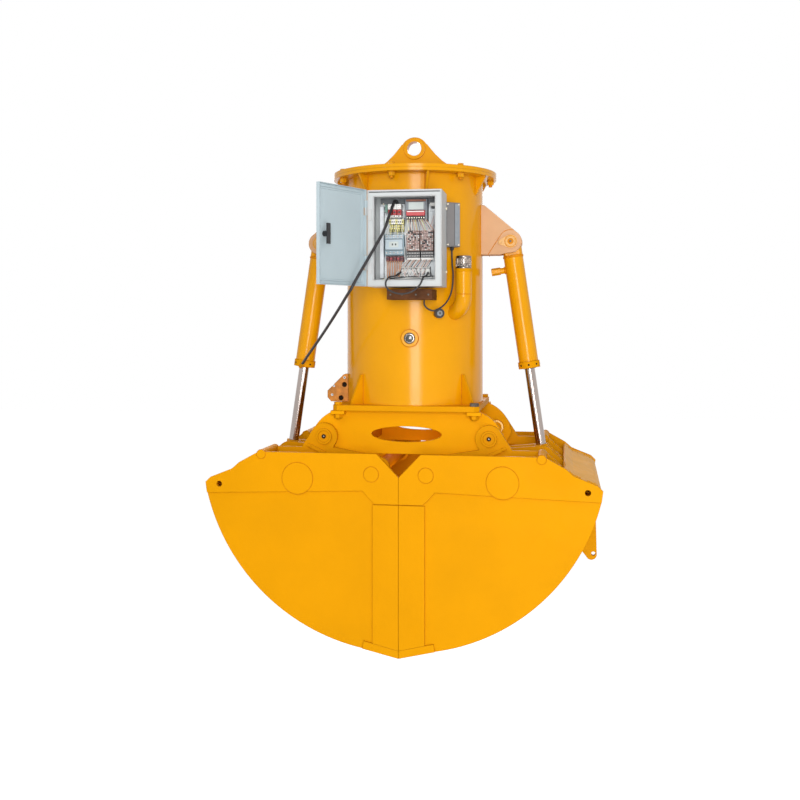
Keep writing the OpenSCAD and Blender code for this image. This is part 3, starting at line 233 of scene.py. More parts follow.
# A paler copy of the orange paint for the jaws' sloped top sheets: painted light
sheet_paint_painted_light = finish("sheet_paint_painted_light", (0.78, 0.36, 0.012), 0.4, mottle=0.08, patch=9, gloss=0.06, edge=0.003,
                     line=(EDGE_SHADE, 0.75))
weld_orange = finish("painted_weld", (0.6, 0.21, 0.002), 0.5, mottle=0.12, patch=30, gloss=0.1)
# Orange for the manifold: random oil marks, and strong painted shade along its edges
oil_marked_orange_with_edge_shade = finish("oil_marks_and_edge_shade", (0.52, 0.2, 0.03), 0.45, mottle=0.35, patch=22, grain=300, bump=0.0006,
                      gloss=0.25, edge=0.004, marks=((0.12, 0.06, 0.03), 0.06, 26),
                      line=((0.06, 0.03, 0.01), 0.9))
# Pale peach orange for the brackets: orange paint with a painted reflection
bracket_paint_painted_reflection = finish("bracket_paint_painted_reflection", (0.57, 0.325, 0.17), 0.45, patch=5, grain=300, bump=0.0005,
                       gloss=0.15, edge=0.003, line=(EDGE_SHADE, 0.8))
pin_paint = finish("pin_paint", (0.62, 0.33, 0.08), 0.36, mottle=0.12, patch=40, grain=500, bump=0.0004,
                   gloss=0.4, edge=0.0015)
chrome = finish("chromed_rod", (0.42, 0.36, 0.33), 0.16, metal=1, mottle=0.08, patch=25, stretch=(1, 1, 0.1))
cap_chrome = finish("chromed_cap", (0.25, 0.215, 0.19), 0.16, metal=1, mottle=0.04, patch=30, edge=0.001)
dark_steel = finish("dark_steel", (0.1, 0.085, 0.07), 0.45, metal=0.6, mottle=0.3, patch=50)
steel = finish("bare_steel", (0.52, 0.51, 0.5), 0.35, metal=1, mottle=0.12, patch=50)
zinc = finish("plated_steel", (0.72, 0.66, 0.52), 0.38, metal=0.8, mottle=0.15, patch=60)
cast_grey = finish("motor_grey", (0.17, 0.18, 0.19), 0.55, mottle=0.1, patch=20, grain=200, bump=0.001)
bronze = finish("bush_bronze", (0.6, 0.38, 0.14), 0.35, metal=1, mottle=0.1, patch=40)
cabinet_paint = finish("cabinet_paint", (0.5, 0.52, 0.52), 0.45, patch=3, grain=500, bump=0.0003, gloss=0.2,
                       edge=0.0012)
door_paint = finish("door_paint", (0.42, 0.5, 0.53), 0.45, patch=3, grain=500, bump=0.0003, gloss=0.25,
                    edge=0.0012)
rim_paint = finish("rim_paint", (0.47, 0.475, 0.47), 0.45, mottle=0.04, patch=8, grain=500, bump=0.0003,
                   edge=0.001)
panel_paint = finish("panel_paint", (0.7, 0.74, 0.76), 0.45, mottle=0.08, patch=14,
                     marks=((0.2, 0.22, 0.24), 0.02, 30))
duct_grey = finish("duct_plastic", (0.72, 0.75, 0.78), 0.55, mottle=0.12, patch=40)
black = finish("black_plastic", (0.018, 0.018, 0.02), 0.42, mottle=0.2, patch=40)
# Near-black discs that stand in for holes and gaps: painted shade
painted_hole_shade = finish("painted_hole_shade", (0.02, 0.012, 0.006), 0.8, mottle=0.3, patch=40, gloss=0.1)
rubber = finish("lead_rubber", (0.03, 0.027, 0.028), 0.5, mottle=0.25, patch=30, grain=900, bump=0.0004,
                gloss=0.3)
contactor_grey = finish("contactor_plastic", (0.27, 0.37, 0.42), 0.5, mottle=0.06, patch=50)
contactor_pale = finish("contactor_cap", (0.42, 0.5, 0.55), 0.5, mottle=0.06, patch=50)
relay_brown = finish("relay_case", (0.36, 0.21, 0.17), 0.35, mottle=0.25, patch=70, gloss=0.6)
relay_pale = finish("relay_top", (0.62, 0.47, 0.42), 0.4, mottle=0.2, patch=70)
white_plastic = finish("white_plastic", (0.8, 0.79, 0.76), 0.45, mottle=0.06, patch=50)
yellow_plastic = finish("yellow_plastic", (0.78, 0.72, 0.3), 0.45, mottle=0.08, patch=50)
red_plastic = finish("red_plastic", (0.46, 0.045, 0.05), 0.4, mottle=0.12, patch=50)
maroon = finish("maroon_plastic", (0.13, 0.025, 0.03), 0.45, mottle=0.15, patch=50)
green_plastic = finish("green_plastic", (0.13, 0.25, 0.2), 0.45, mottle=0.1, patch=50)
meter_grey = finish("meter_plastic", (0.22, 0.24, 0.26), 0.5, mottle=0.08, patch=50)
meter_top = finish("meter_top", (0.28, 0.1, 0.06), 0.5, mottle=0.2, patch=60)
window_grey = finish("window_pale", (0.55, 0.6, 0.58), 0.15, mottle=0.04, patch=30, gloss=0.6)
copper_wire = finish("copper_wire", (0.62, 0.3, 0.16), 0.45, mottle=0.15, patch=80)
pink_wire = finish("pink_wire", (0.66, 0.46, 0.42), 0.5, mottle=0.1, patch=80)
tray_paint = finish("tray_paint", (0.1, 0.036, 0.012), 0.6, mottle=0.35, patch=22, gloss=0.1, edge=0.001)
box_grey = finish("box_grey", (0.17, 0.16, 0.158), 0.45, mottle=0.06, patch=14, gloss=0.4, edge=0.0012)
glass_pale = finish("glass_pale", (0.04, 0.045, 0.04), 0.08, mottle=0.15, patch=80, gloss=0.8)

SLOT_FINISH = {
    "orange_paint": orange, "pale_orange_paint": bracket_paint_painted_reflection, "pin_steel": pin_paint,
    "chrome_plate": chrome, "machined_steel": steel, "zinc_bolts": zinc, "cast_iron_grey": cast_grey,
    "bare_aluminium": steel, "sight_ring": cap_chrome, "black_plastic": black, "cabinet_paint": cabinet_paint,
    "blue_grey_plastic": contactor_grey, "brown_plastic": relay_brown, "pale_plastic": white_plastic,
    "grey_plastic": meter_grey, "brown_paint": tray_paint, "box_paint": box_grey, "cable_rubber": rubber,
    "bronze": bronze}
NODE_FINISH = {
    "cover_bolts": tank_paint, "base_bolts": orange, "rod_eye_left": orange, "rod_eye_right": orange,
    "jaw_pins_left": orange, "jaw_pins_right": orange, "mounting_panel": panel_paint,
    "cabinet_hinges": rim_paint, "breather_cap": cap_chrome, "tank_shell": tank_paint,
    "top_cover": tank_paint, "lifting_lug": tank_paint, "filler_pipe": tank_paint,
    "valve_manifold": oil_marked_orange_with_edge_shade, "barrel_left": tank_paint, "barrel_right": tank_paint,
    "cabinet_door": door_paint, "frame_cheeks": cheek_paint_painted_light, "jaw_top_sheet_left": sheet_paint_painted_light,
    "jaw_top_sheet_right": sheet_paint_painted_light}
for part in frame["record"]["subparts"]:
    solid = frame["nodes"][part["node"]]
    chosen = NODE_FINISH.get(part["node"], SLOT_FINISH[part["material_slot"]])
    if not solid.material_slots:
        solid.data.materials.append(chosen)
    for socket in solid.material_slots:
        socket.material = chosen


# Makers of pieces, in millimetres
def rim(centre, side, other, radius, sides):
    """Points of a ring round a centre, in the plane of two directions."""
    return [centre + (side * math.cos(a) + other * math.sin(a)) * radius
            for a in [2 * math.pi * k / sides for k in range(sides)]]


# Edges that turn further than this stay sharp; a bar's chamfer; and the shares of a form that chamfers take
# at most
SHARP = math.radians(35)
ROD_EDGE, ROD_SHARE, BLOCK_SHARE = 0.8, 0.4, 0.45


class Piece:
    """Gathers the faces of one piece and puts it on its body."""

    def __init__(self, name, body="housing"):
        self.name, self.body = name, body
        self.verts, self.faces, self.slots, self.finishes = [], [], [], []
        self.place = Matrix.Identity(4)

    def add(self, verts, faces, surface):
        start = len(self.verts)
        self.verts += [self.place @ Vector(v) for v in verts]
        if surface not in self.finishes:
            self.finishes.append(surface)
        self.faces += [[start + i for i in face] for face in faces]
        self.slots += [self.finishes.index(surface)] * len(faces)

    def block(self, low, high, surface, edge):
        """A box with chamfered edges."""
        low, high = Vector(low), Vector(high)
        mid, half = (low + high) / 2, (high - low) / 2
        edge = min(edge, *[h * BLOCK_SHARE for h in half])
        verts, index = [], {}
        for signs in product((-1, 1), repeat=3):
            for axis in range(3):
                index[signs, axis] = len(verts)
                verts.append([mid[i] + signs[i] * (half[i] - (0 if i == axis else edge)) for i in range(3)])
        faces = [[index[signs, axis] for axis in range(3)] for signs in product((-1, 1), repeat=3)]
        for axis in range(3):
            u, v = [i for i in range(3) if i != axis]

            def corner(s, su, sv):
                signs = [0, 0, 0]
                signs[axis], signs[u], signs[v] = s, su, sv
                return tuple(signs)

            for s in (-1, 1):
                faces.append([index[corner(s, *pair), axis] for pair in CORNERS])
                for t in (-1, 1):
                    near, far = corner(-1, s, t), corner(1, s, t)
                    faces.append([index[near, u], index[far, u], index[far, v], index[near, v]])
        for face in faces:
            a, b, c = [Vector(verts[i]) for i in face[:3]]
            if (b - a).cross(c - a).dot(a + b + c - 3 * mid) < 0:
                face.reverse()
        self.add(verts, faces, surface)

    def flat_blocks(self, corners, back, front, surface, edge):
        """Boxes between two depths, each from a lower left to an upper right corner."""
        for low, high in corners:
            self.block((low[0], back, low[1]), (high[0], front, high[1]), surface, edge)

    def between(self, verts, sides, surface):
        """Faces from each ring of vertices to the next, with both ends closed."""
        last = len(verts) - sides
        faces = []
        for first in range(0, last, sides):
            for k in range(sides):
                a, b = first + k, first + (k + 1) % sides
                faces.append([a, b, b + sides, a + sides])
        faces.append(list(range(sides - 1, -1, -1)))
        faces.append(list(range(last, last + sides)))
        self.add(verts, faces, surface)

    def turned(self, start, axis, profile, surface, sides):
        """A turned form: the profile holds radius and distance along the axis, closed at both ends."""
        axis = Vector(axis).normalized()
        side = axis.orthogonal().normalized()
        other = axis.cross(side)
        verts = []
        for radius, along in profile:
            verts += rim(Vector(start) + axis * along, side, other, radius, sides)
        self.between(verts, sides, surface)

    def rod(self, a, b, radius, surface, sides):
        """A round bar with chamfered ends."""
        length = (Vector(b) - Vector(a)).length
        edge = min(ROD_EDGE, radius * ROD_SHARE, length * ROD_SHARE)
        self.turned(a, Vector(b) - Vector(a), [(radius - edge, 0), (radius, edge), (radius, length - edge),
                                               (radius - edge, length)], surface, sides)

    def hexagon(self, a, axis, radius, height, surface):
        """A nut or a screw's head."""
        self.turned(a, axis, [(radius, 0), (radius, height * 0.85), (radius * 0.9, height)], surface, 6)

    def wire(self, path, radius, surface, sides):
        """A round lead along a path, closed at both ends."""
        path = [Vector(p) for p in path]
        last = len(path) - 1
        ways = [(path[min(i + 1, last)] - path[max(i - 1, 0)]).normalized() for i in range(len(path))]
        side = ways[0].orthogonal().normalized()
        verts = []
        for point, way in zip(path, ways):
            side = (side - way * side.dot(way)).normalized()
            verts += rim(point, side, way.cross(side), radius, sides)
        self.between(verts, sides, surface)

    def mesh(self):
        data = bpy.data.meshes.new(self.name)
        data.from_pydata([v * MM for v in self.verts], [], self.faces)
        for surface in self.finishes:
            data.materials.append(surface)
        data.polygons.foreach_set("material_index", self.slots)
        data.polygons.foreach_set("use_smooth", [True] * len(self.faces))
        data.set_sharp_from_angle(angle=SHARP)
        data.update()
        return data

    def done(self, slot=None, replaces=()):
        return put(self.name, self.mesh(), self.body, replaces)


def put(name, data, body, replaces=()):
    made = new_object(name, data)
    if body:
        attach(made, body)
    if replaces:
        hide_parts(*replaces)
    return made


# Node trees for what repeats or follows a path
def new_tree(name, inputs):
    """A geometry tree with named inputs, and its group input and output nodes."""
    tree = bpy.data.node_groups.new(name, "GeometryNodeTree")
    tree.interface.new_socket("Geometry", in_out="INPUT", socket_type="NodeSocketGeometry")
    for label, kind in inputs:
        tree.interface.new_socket(label, in_out="INPUT", socket_type="NodeSocket" + kind)
    tree.interface.new_socket("Geometry", in_out="OUTPUT", socket_type="NodeSocketGeometry")
    return tree, tree.nodes.new("NodeGroupInput"), tree.nodes.new("NodeGroupOutput")


def end_tree(tree, source, surface, out):
    """Realises the instances, gives them their finish and closes the tree."""
    link = tree.links.new
    real = tree.nodes.new("GeometryNodeRealizeInstances")
    dressed = tree.nodes.new("GeometryNodeSetMaterial")
    link(source, real.inputs[0])
    link(real.outputs[0], dressed.inputs["Geometry"])
    link(surface, dressed.inputs["Material"])
    link(dressed.outputs[0], out.inputs[0])


def copies_on_line(tree, given):
    """A line of points, and copies of the given piece on them."""
    line = tree.nodes.new("GeometryNodeMeshLine")
    copies = tree.nodes.new("GeometryNodeInstanceOnPoints")
    tree.links.new(given.outputs["Count"], line.inputs["Count"])
    tree.links.new(line.outputs[0], copies.inputs["Points"])
    tree.links.new(given.outputs["Geometry"], copies.inputs["Instance"])
    return line, copies


def row_tree():
    """Copies of a piece along a straight row."""
    tree, given, out = new_tree("row_of_copies", [("Count", "Int"), ("Step", "Vector"),
                                                  ("Finish", "Material")])
    line, copies = copies_on_line(tree, given)
    tree.links.new(given.outputs["Step"], line.inputs["Offset"])
    end_tree(tree, copies.outputs[0], given.outputs["Finish"], out)
    return tree


def ring_tree():
    """Copies of a piece turned round the Z axis."""
    tree, given, out = new_tree("ring_of_copies", [("Count", "Int"), ("Finish", "Material")])
    link = tree.links.new
    line, copies = copies_on_line(tree, given)
    index = tree.nodes.new("GeometryNodeInputIndex")
    share = new_node(tree, "ShaderNodeMath", operation="DIVIDE")
    angle = new_node(tree, "ShaderNodeMath", operation="MULTIPLY")
    angle.inputs[1].default_value = 2 * math.pi
    turn = tree.nodes.new("ShaderNodeCombineXYZ")
    line.inputs["Offset"].default_value = (0, 0, 0)
    link(index.outputs[0], share.inputs[0])
    link(given.outputs["Count"], share.inputs[1])
    link(share.outputs[0], angle.inputs[0])
    link(angle.outputs[0], turn.inputs["Z"])
    link(turn.outputs[0], copies.inputs["Rotation"])
    end_tree(tree, copies.outputs[0], given.outputs["Finish"], out)
    return tree


def bead_tree():
    """Overlapping ripples of a weld along the edges of a path."""
    tree, given, out = new_tree("weld_ripples", [("Radius", "Float"), ("Step", "Float"), ("Seed", "Int"),
                                                 ("Finish", "Material")])
    link = tree.links.new
    path = tree.nodes.new("GeometryNodeMeshToCurve")
    even = new_node(tree, "GeometryNodeResampleCurve", mode="LENGTH")
    ripple = tree.nodes.new("GeometryNodeMeshIcoSphere")
    ripple.inputs["Subdivisions"].default_value = 1
    copies = tree.nodes.new("GeometryNodeInstanceOnPoints")
    tangent = tree.nodes.new("GeometryNodeInputTangent")
    aim = tree.nodes.new("FunctionNodeAlignRotationToVector")
    size = new_node(tree, "FunctionNodeRandomValue", data_type="FLOAT_VECTOR")
    size.inputs["Min"].default_value = (0.85, 0.85, 0.9)
    size.inputs["Max"].default_value = (1.15, 1.15, 1.4)
    smooth = tree.nodes.new("GeometryNodeSetShadeSmooth")
    link(given.outputs["Geometry"], path.inputs["Mesh"])
    link(path.outputs[0], even.inputs["Curve"])
    link(given.outputs["Step"], even.inputs["Length"])
    link(given.outputs["Radius"], ripple.inputs["Radius"])
    link(even.outputs[0], copies.inputs["Points"])
    link(ripple.outputs["Mesh"], smooth.inputs["Geometry"])
    link(smooth.outputs[0], copies.inputs["Instance"])
    link(tangent.outputs[0], aim.inputs["Vector"])
    link(aim.outputs[0], copies.inputs["Rotation"])
    link(given.outputs["Seed"], size.inputs["Seed"])
    link(size.outputs[0], copies.inputs["Scale"])
    end_tree(tree, copies.outputs[0], given.outputs["Finish"], out)
    return tree


ROW, RING, BEAD = row_tree(), ring_tree(), bead_tree()


def grown(data, tree, **inputs):
    """The plain mesh that a tree makes from a mesh."""
    holder = new_object("holder", data)
    growth = holder.modifiers.new("growth", "NODES")
    growth.node_group = tree
    for item in tree.interface.items_tree:
        if item.in_out == "INPUT" and item.name in inputs:
            growth[item.identifier] = inputs[item.name]
    graph = bpy.context.evaluated_depsgraph_get()
    made = bpy.data.meshes.new_from_object(holder.evaluated_get(graph), preserve_all_data_layers=True,
                                           depsgraph=graph)
    bpy.data.objects.remove(holder)
    return made


def row(unit, count, step):
    """A row of copies of a piece of one finish along X; step in millimetres."""
    made = grown(unit.mesh(), ROW, Count=count, Step=(step * MM, 0.0, 0.0), Finish=unit.finishes[0])
    return put(unit.name, made, unit.body)


def ring(unit, count, place):
    """A ring of copies of a piece round the Z axis of a place, which is in millimetres."""
    made = grown(unit.mesh(), RING, Count=count, Finish=unit.finishes[0])
    made.transform(Matrix.Translation(place.translation * MM) @ place.to_3x3().to_4x4())
    return put(unit.name, made, unit.body)


def welds(name, paths, body, radius, step=5.5, seed=1):
    """Weld beads along paths in millimetres."""
    verts, edges = [], []
    for path in paths:
        start = len(verts)
        verts += [Vector(p) * MM for p in path]
        edges += [(start + i, start + i + 1) for i in range(len(path) - 1)]
    data = bpy.data.meshes.new(name)
    data.from_pydata(verts, edges, [])
    made = grown(data, BEAD, Radius=radius * MM, Step=step * MM, Seed=seed, Finish=weld_orange)
    return put(name, made, body)


def circle(centre, axis, radius, count, start=0.0, end=360.0):
    """Points of a circle or an arc round an axis."""
    axis = Vector(axis).normalized()
    side = UP if abs(axis.z) < 0.9 else Vector((1, 0, 0))
    side = (side - axis * side.dot(axis)).normalized()
    other = axis.cross(side)
    return [Vector(centre) + radius * (side * math.cos(a) + other * math.sin(a))
            for a in [math.radians(start + (end - start) * k / count) for k in range(count + 1)]]


# Leads: radii, and points between two places of a route
SUPPLY_R, SMALL_R, LEAD_STEPS = 6, 3.5, 10
lead = Piece("supply_lead_round", None)
lead.wire(smooth_path(SUPPLY_ROUTE, LEAD_STEPS), SUPPLY_R, rubber, 14)
lead = lead.done("cable_rubber", ["supply_lead"])
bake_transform(lead)
leads = Piece("small_leads_round")
for route in (JUNCTION_ROUTE, LOOP_ROUTE):
    leads.wire(smooth_path(route, LEAD_STEPS), SMALL_R, rubber, 12)
leads.done("cable_rubber", ["small_leads"])

# Places that the frame gives: faces of solids and joints
SIDES = ((1, "right"), (-1, "left"))
COVER_TOP, LUG_X = box_mm("top_cover")[1][2], box_mm("lifting_lug")[1][0]
TANK_LOW, BASE_LOW = box_mm("tank_shell")[0][2], box_mm("base_plate")[0][2]
CHEEK_FACE, SIDE_FACE = box_mm("pivot_bushes")[1][1], box_mm("jaw_sides_right")[1][1]
KEEPER_FACE, LUG_OUTER = box_mm("jaw_pins_right")[1][1], box_mm("jaw_rod_lug_right")[1][1]
MANIFOLD_FRONT = box_mm("valve_manifold")[0][1]
BRACKET_X, BRACKET_Z = joint("barrel_right_swing")[1][::2]
PIN_X, PIN_Z = joint("jaw_right_swing")[1][::2]
CAP_X, CAP_Y = joint("breather_cap_turn")[1][:2]

# Sizes and places between them, as the solids have them; turns are in degrees round the tank, from the front
# to the right
TANK_R, BOLT_CIRCLE, FLANGE_LOW, LUG_Y = 307, 342, -147, 18
GUSSETS, GUSSET_TURN, GUSSET_DROP, GUSSET_HALF = 7, 17, 76, 6
BASE_GUSSETS, BASE_TURN, BASE_REACH, BASE_RISE = 4, 50, 60, 128
BOSS_TURN, BOSS_Z, BOSS_R = 4, -854, 37
SWITCH_TURN, SWITCH_Z, JUNCTION_TURN = 26, -748, 35
EAR_X, EAR_FACE, EAR_LOW, EAR_TOP = 302.7, 51, -483, -267
BRACKET_FACE, PIN_FACE = 57.3, 295
KEEPER_X, KEEPER_Z, KEEPER_HALF, KEEPER_WAY = 390, -1333, 29, (0.906, 0.423)
TUBE, INNER_TUBE, CORNER_TUBE = (424, -1433), (113, -1410), (580, -1336)
TUBE_R, INNER_TUBE_R, CORNER_TUBE_R = 66.5, 32, 19.5
SHEET_FACE, HINGE_FACE, HINGE_PLATE, LUG_PLATE = 476, 290, 20, 22
SKIN_R, SKIN_Z, SHEET_Z = 840, -1300, -1501


def round_tank(turn):
    """The level direction at a turn round the tank."""
    a = math.radians(turn - 90)
    return Vector((math.cos(a), math.sin(a), 0))


# Welds of the housing
boss_way = round_tank(BOSS_TURN)
housing_welds = [
    [(x * LUG_X, y * LUG_Y, COVER_TOP) for x, y in (*CORNERS, CORNERS[0])],
    circle(UP * FLANGE_LOW, UP, TANK_R, 96),
    circle(UP * TANK_LOW, UP, TANK_R, 96),
    circle(boss_way * (TANK_R - 1) + UP * BOSS_Z, boss_way, BOSS_R, 36)]
for side in (-1, 1):
    for y in (-EAR_FACE, EAR_FACE):
        housing_welds.append([(side * EAR_X, y, EAR_LOW), (side * EAR_X, y, EAR_TOP)])
    housing_welds.append([(-300, side * CHEEK_FACE, BASE_LOW), (300, side * CHEEK_FACE, BASE_LOW)])
for k in range(GUSSETS):
    way = round_tank(GUSSET_TURN + k * 360 / GUSSETS)
    for s in (-GUSSET_HALF, GUSSET_HALF):
        foot = way * TANK_R + UP.cross(way) * s
        housing_welds.append([foot + UP * (FLANGE_LOW - GUSSET_DROP), foot + UP * FLANGE_LOW])
for k in range(BASE_GUSSETS):
    way = round_tank(BASE_TURN + k * 360 / BASE_GUSSETS)
    for s in (-GUSSET_HALF, GUSSET_HALF):
        foot = way * TANK_R + UP.cross(way) * s + UP * TANK_LOW
        housing_welds.append([foot + way * BASE_REACH, foot, foot + UP * BASE_RISE])
welds("housing_welds", housing_welds, "housing", 3)

# Welds and joint lines of the jaws; the sheet's edge begins just inside the curved skin
SHEET_X = math.sqrt(SKIN_R ** 2 - (SHEET_Z - SKIN_Z) ** 2) - 3
for side, body in SIDES:
    beads = []
    for y in (-1, 1):
        face, sheet = y * SIDE_FACE, y * (SHEET_FACE + 1.2)
        edge = [(SHEET_X, SHEET_Z - 0.5), (150, -1479.5), (120, -1512.5), (99, -1532.5), (2, -1532.5)]
        beads.append([(side * x, sheet, z) for x, z in edge])
        beads.append([(side * 108.5, sheet, -1537), (side * 108.5, sheet, -2118)])
        for (x, z), r in ((TUBE, TUBE_R), (INNER_TUBE, INNER_TUBE_R), (CORNER_TUBE, CORNER_TUBE_R)):
            beads.append(circle((side * x, face, z), BACK, r, 60))
        beads.append([(side * 152, sheet, -2121), (side * 112, sheet, -2129)])
    welds("jaw_%s_welds" % body, beads, "jaw_" + body, 1.7, 4.2, 3)
    deep = []
    for y in (-1, 1):
        for face in (LUG_OUTER - LUG_PLATE, LUG_OUTER):
            deep.append(circle((side * TUBE[0], y * face, TUBE[1]), BACK, TUBE_R + 0.5, 48))
        for face in (HINGE_FACE - HINGE_PLATE, HINGE_FACE):
            deep.append(circle((side * TUBE[0], y * face, TUBE[1]), BACK, TUBE_R + 0.5, 48))
            deep.append(circle((side * INNER_TUBE[0], y * face, INNER_TUBE[1]), BACK, INNER_TUBE_R + 0.5, 36))
    welds("jaw_%s_tube_welds" % body, deep, "jaw_" + body, 3, 6, 4)

# Painted washers, nuts and bolt ends under the tank's flange, and one unpainted head on the base plate
nuts = Piece("flange_nuts")
for k in range(GUSSETS):
    at = round_tank(GUSSET_TURN + (k + 0.5) * 360 / GUSSETS) * BOLT_CIRCLE + UP * FLANGE_LOW
    nuts.turned(at, -UP, [(16.5, 0), (16.5, 3.4)], weld_orange, 28)
    nuts.hexagon(at - UP * 3.2, -UP, 15.5, 17, tank_paint)
    nuts.rod(at - UP * 18, at - UP * 29, 8, weld_orange, 16)
nuts.done("orange_paint")
dark_bolt = Piece("base_bolt_unpainted")
dark_bolt.hexagon((294, -286, TANK_LOW), UP, 21, 13.6, dark_steel)
dark_bolt.done("zinc_bolts")

# Pins: centre holes painted as dark discs of shade, with nipples and rings, keeper screws
for side, body in SIDES:
    pins = Piece("jaw_%s_pin_ends" % body, "jaw_" + body)
    for y in (-1, 1):
        at, out = Vector((side * PIN_X, y * PIN_FACE, PIN_Z)), BACK * y
        pins.turned(at - out * 0.4, out, [(9.5, 0), (9.5, 0.7)], painted_hole_shade, 24)
        pins.turned(at, out, [(3.2, 0), (3.2, 1.4), (2.2, 2), (2.2, 2.6), (1.6, 3.2)], steel, 16)
        for along in (-KEEPER_HALF, KEEPER_HALF):
            x, z = KEEPER_X + along * KEEPER_WAY[0], KEEPER_Z + along * KEEPER_WAY[1]
            pins.hexagon((side * x, y * KEEPER_FACE, z), out, 6.5, 4, orange)
        pins.turned(at - out * 0.2, out, [(13, 0), (13, 1.2), (11.5, 1.2), (11.5, 0)], weld_orange, 32)
    pins.done("zinc_bolts")
for side, name in SIDES:
    ends = Piece("bracket_%s_pin_ends" % name)
    for y in (-1, 1):
        at, out = Vector((side * BRACKET_X, y * BRACKET_FACE, BRACKET_Z)), BACK * y
        ends.turned(at, out, [(27, 0), (27, 0.8)], weld_orange, 40)
        ends.turned(at, out, [(24.5, 0), (24.5, 2.5), (23, 3.4), (19.5, 3.4), (18.5, 2.2), (6.5, 2.2)],
                    pin_paint, 40)
        ends.turned(at, out, [(13.5, 0), (13.5, 2.6), (11.5, 2.6), (11.5, 2.3)], weld_orange, 40)
        ends.turned(at, out, [(5, 0), (5, 3.2), (2.6, 4.2), (2.6, 6.5)], dark_steel, 16)
        ends.hexagon((side * (BRACKET_X - 45), y * 63, BRACKET_Z - 4), out, 6.5, 4, pin_paint)
    ends.done("pin_steel")
    arcs = []
    for y in (-51.2, 51.2):
        arc = circle((side * BRACKET_X, y, BRACKET_Z), BACK, 52, 30, 15 * side, -60 * side)
        arcs.append(arc + [Vector((side * 335, y, -486))])
    welds("bracket_%s_doubler_arcs" % name, arcs, "housing", 2, 3.4, 8)

# Barrels: seam ring, port ring, spanner holes painted as dark discs of shade round the gland, and wiper, at
# distances from the upper pin
BARREL_TILT = math.atan2(140, 958)
SEAM_AT, PORT_AT, HOLES_AT, WIPER_AT = 60, 121.5, 554, 565
BARREL_R, GLAND_R = 43, 47.6
for side, name in SIDES:
    down = Vector((side * math.sin(BARREL_TILT), 0, -math.cos(BARREL_TILT)))
    across = Vector((-side * math.cos(BARREL_TILT), 0, -math.sin(BARREL_TILT)))
    top = Vector((side * BRACKET_X, 0, BRACKET_Z))
    place = Matrix((across, BACK, across.cross(BACK))).transposed().to_4x4()
    place.translation = top + down * HOLES_AT
    holes = Piece("gland_%s_spanner_holes" % name, "barrel_" + name)
    holes.turned((GLAND_R, 0, 0), (1, 0, 0), [(4.2, 0), (4.2, 0.8)], painted_hole_shade, 14)
    ring(holes, 8, place)
    trim = Piece("barrel_%s_trim" % name, "barrel_" + name)
    trim.turned(top + down * SEAM_AT, down, [(43.2, 0), (45.2, 2), (45.8, 6), (45.2, 10), (43.2, 12)],
                weld_orange, 48)
    trim.turned(top + down * PORT_AT + across * BARREL_R, across, [(15.5, -3), (17.5, 1), (17, 4), (13, 6)],
                weld_orange, 24)
    trim.turned(top + down * WIPER_AT, down, [(30, 0), (30, 5), (27, 7), (23.4, 7)], black, 40)
    trim.done("orange_paint")

# Level switch: grey face with a dark centre
knob_way = round_tank(SWITCH_TURN)
knob = Piece("level_switch_face")
knob_at = knob_way * (TANK_R + 36) + UP * SWITCH_Z
knob.turned(knob_at - knob_way * 0.4, knob_way, [(13, 0), (13, 1.4), (11.5, 2.2), (7, 2.2), (6, 1.2)],
            meter_grey, 6)
knob.turned(knob_at, knob_way, [(5, 0), (5, 2.6), (4, 3.2)], dark_steel, 20)
knob.done("black_plastic")

# Sight glass: pane, painted shade in the gap, ring and centre
glass = Piece("sight_glass_pane")
glass.place = Matrix.Rotation(math.radians(BOSS_TURN), 4, "Z") @ Matrix.Rotation(math.radians(90), 4, "X")
glass.place.translation = boss_way * (TANK_R + 18.2) + UP * BOSS_Z
glass.turned(UP * -2.5, UP, [(14.8, 0), (14.8, 3), (13, 3.9)], glass_pale, 32)
glass.turned(UP * -0.6, UP, [(23.6, 0), (23.6, 0.9)], painted_hole_shade, 40)
glass.turned(UP * -0.4, UP, [(21, 0), (21, 1.8), (19.6, 2.6), (16.6, 2.6), (15.4, 1), (15.4, 0)],
             cap_chrome, 40)
glass.turned(UP, UP, [(5, 0), (5, 1.2), (4, 1.8)], cap_chrome, 20)
glass.done("sight_ring")

# Knurled breather cap, and the filler pipe's collar and seam below it
CAP_AT = Vector((CAP_X, CAP_Y, 0))
CAP_LOW, RIBS_LOW, COLLAR_LOW, NECK_LOW, PIPE_SEAM = -557.7, -549.5, -572, -574, -667
cap = Piece("breather_cap_body", "breather")
cap.turned(CAP_AT + UP * CAP_LOW, UP, [(30, 0), (33, 1), (33, 6), (31.6, 8), (31.6, 43), (33.2, 46),
                                       (33.2, 50), (30, 53.5), (10, 54.8)], cap_chrome, 64)
cap.turned(CAP_AT + UP * NECK_LOW, UP, [(28, 0), (29.5, 2), (29.5, 16)], steel, 40)
cap.done("chrome_plate", ["breather_cap"])
rib = Piece("breather_cap_ribs", "breather")
rib.block((31.2, -1, 0), (33.4, 1, 34), cap_chrome, 0.5)
ring(rib, 36, Matrix.Translation(CAP_AT + UP * RIBS_LOW))
collar = Piece("filler_pipe_collar")
collar.turned(CAP_AT + UP * COLLAR_LOW, UP, [(34.1, 0), (35.6, 1.5), (35.6, 9), (34.1, 11)], orange, 48)
collar.done("orange_paint")
welds("filler_pipe_seams", [circle(CAP_AT + UP * PIPE_SEAM, UP, 34.2, 48)], "housing", 2, 4, 6)

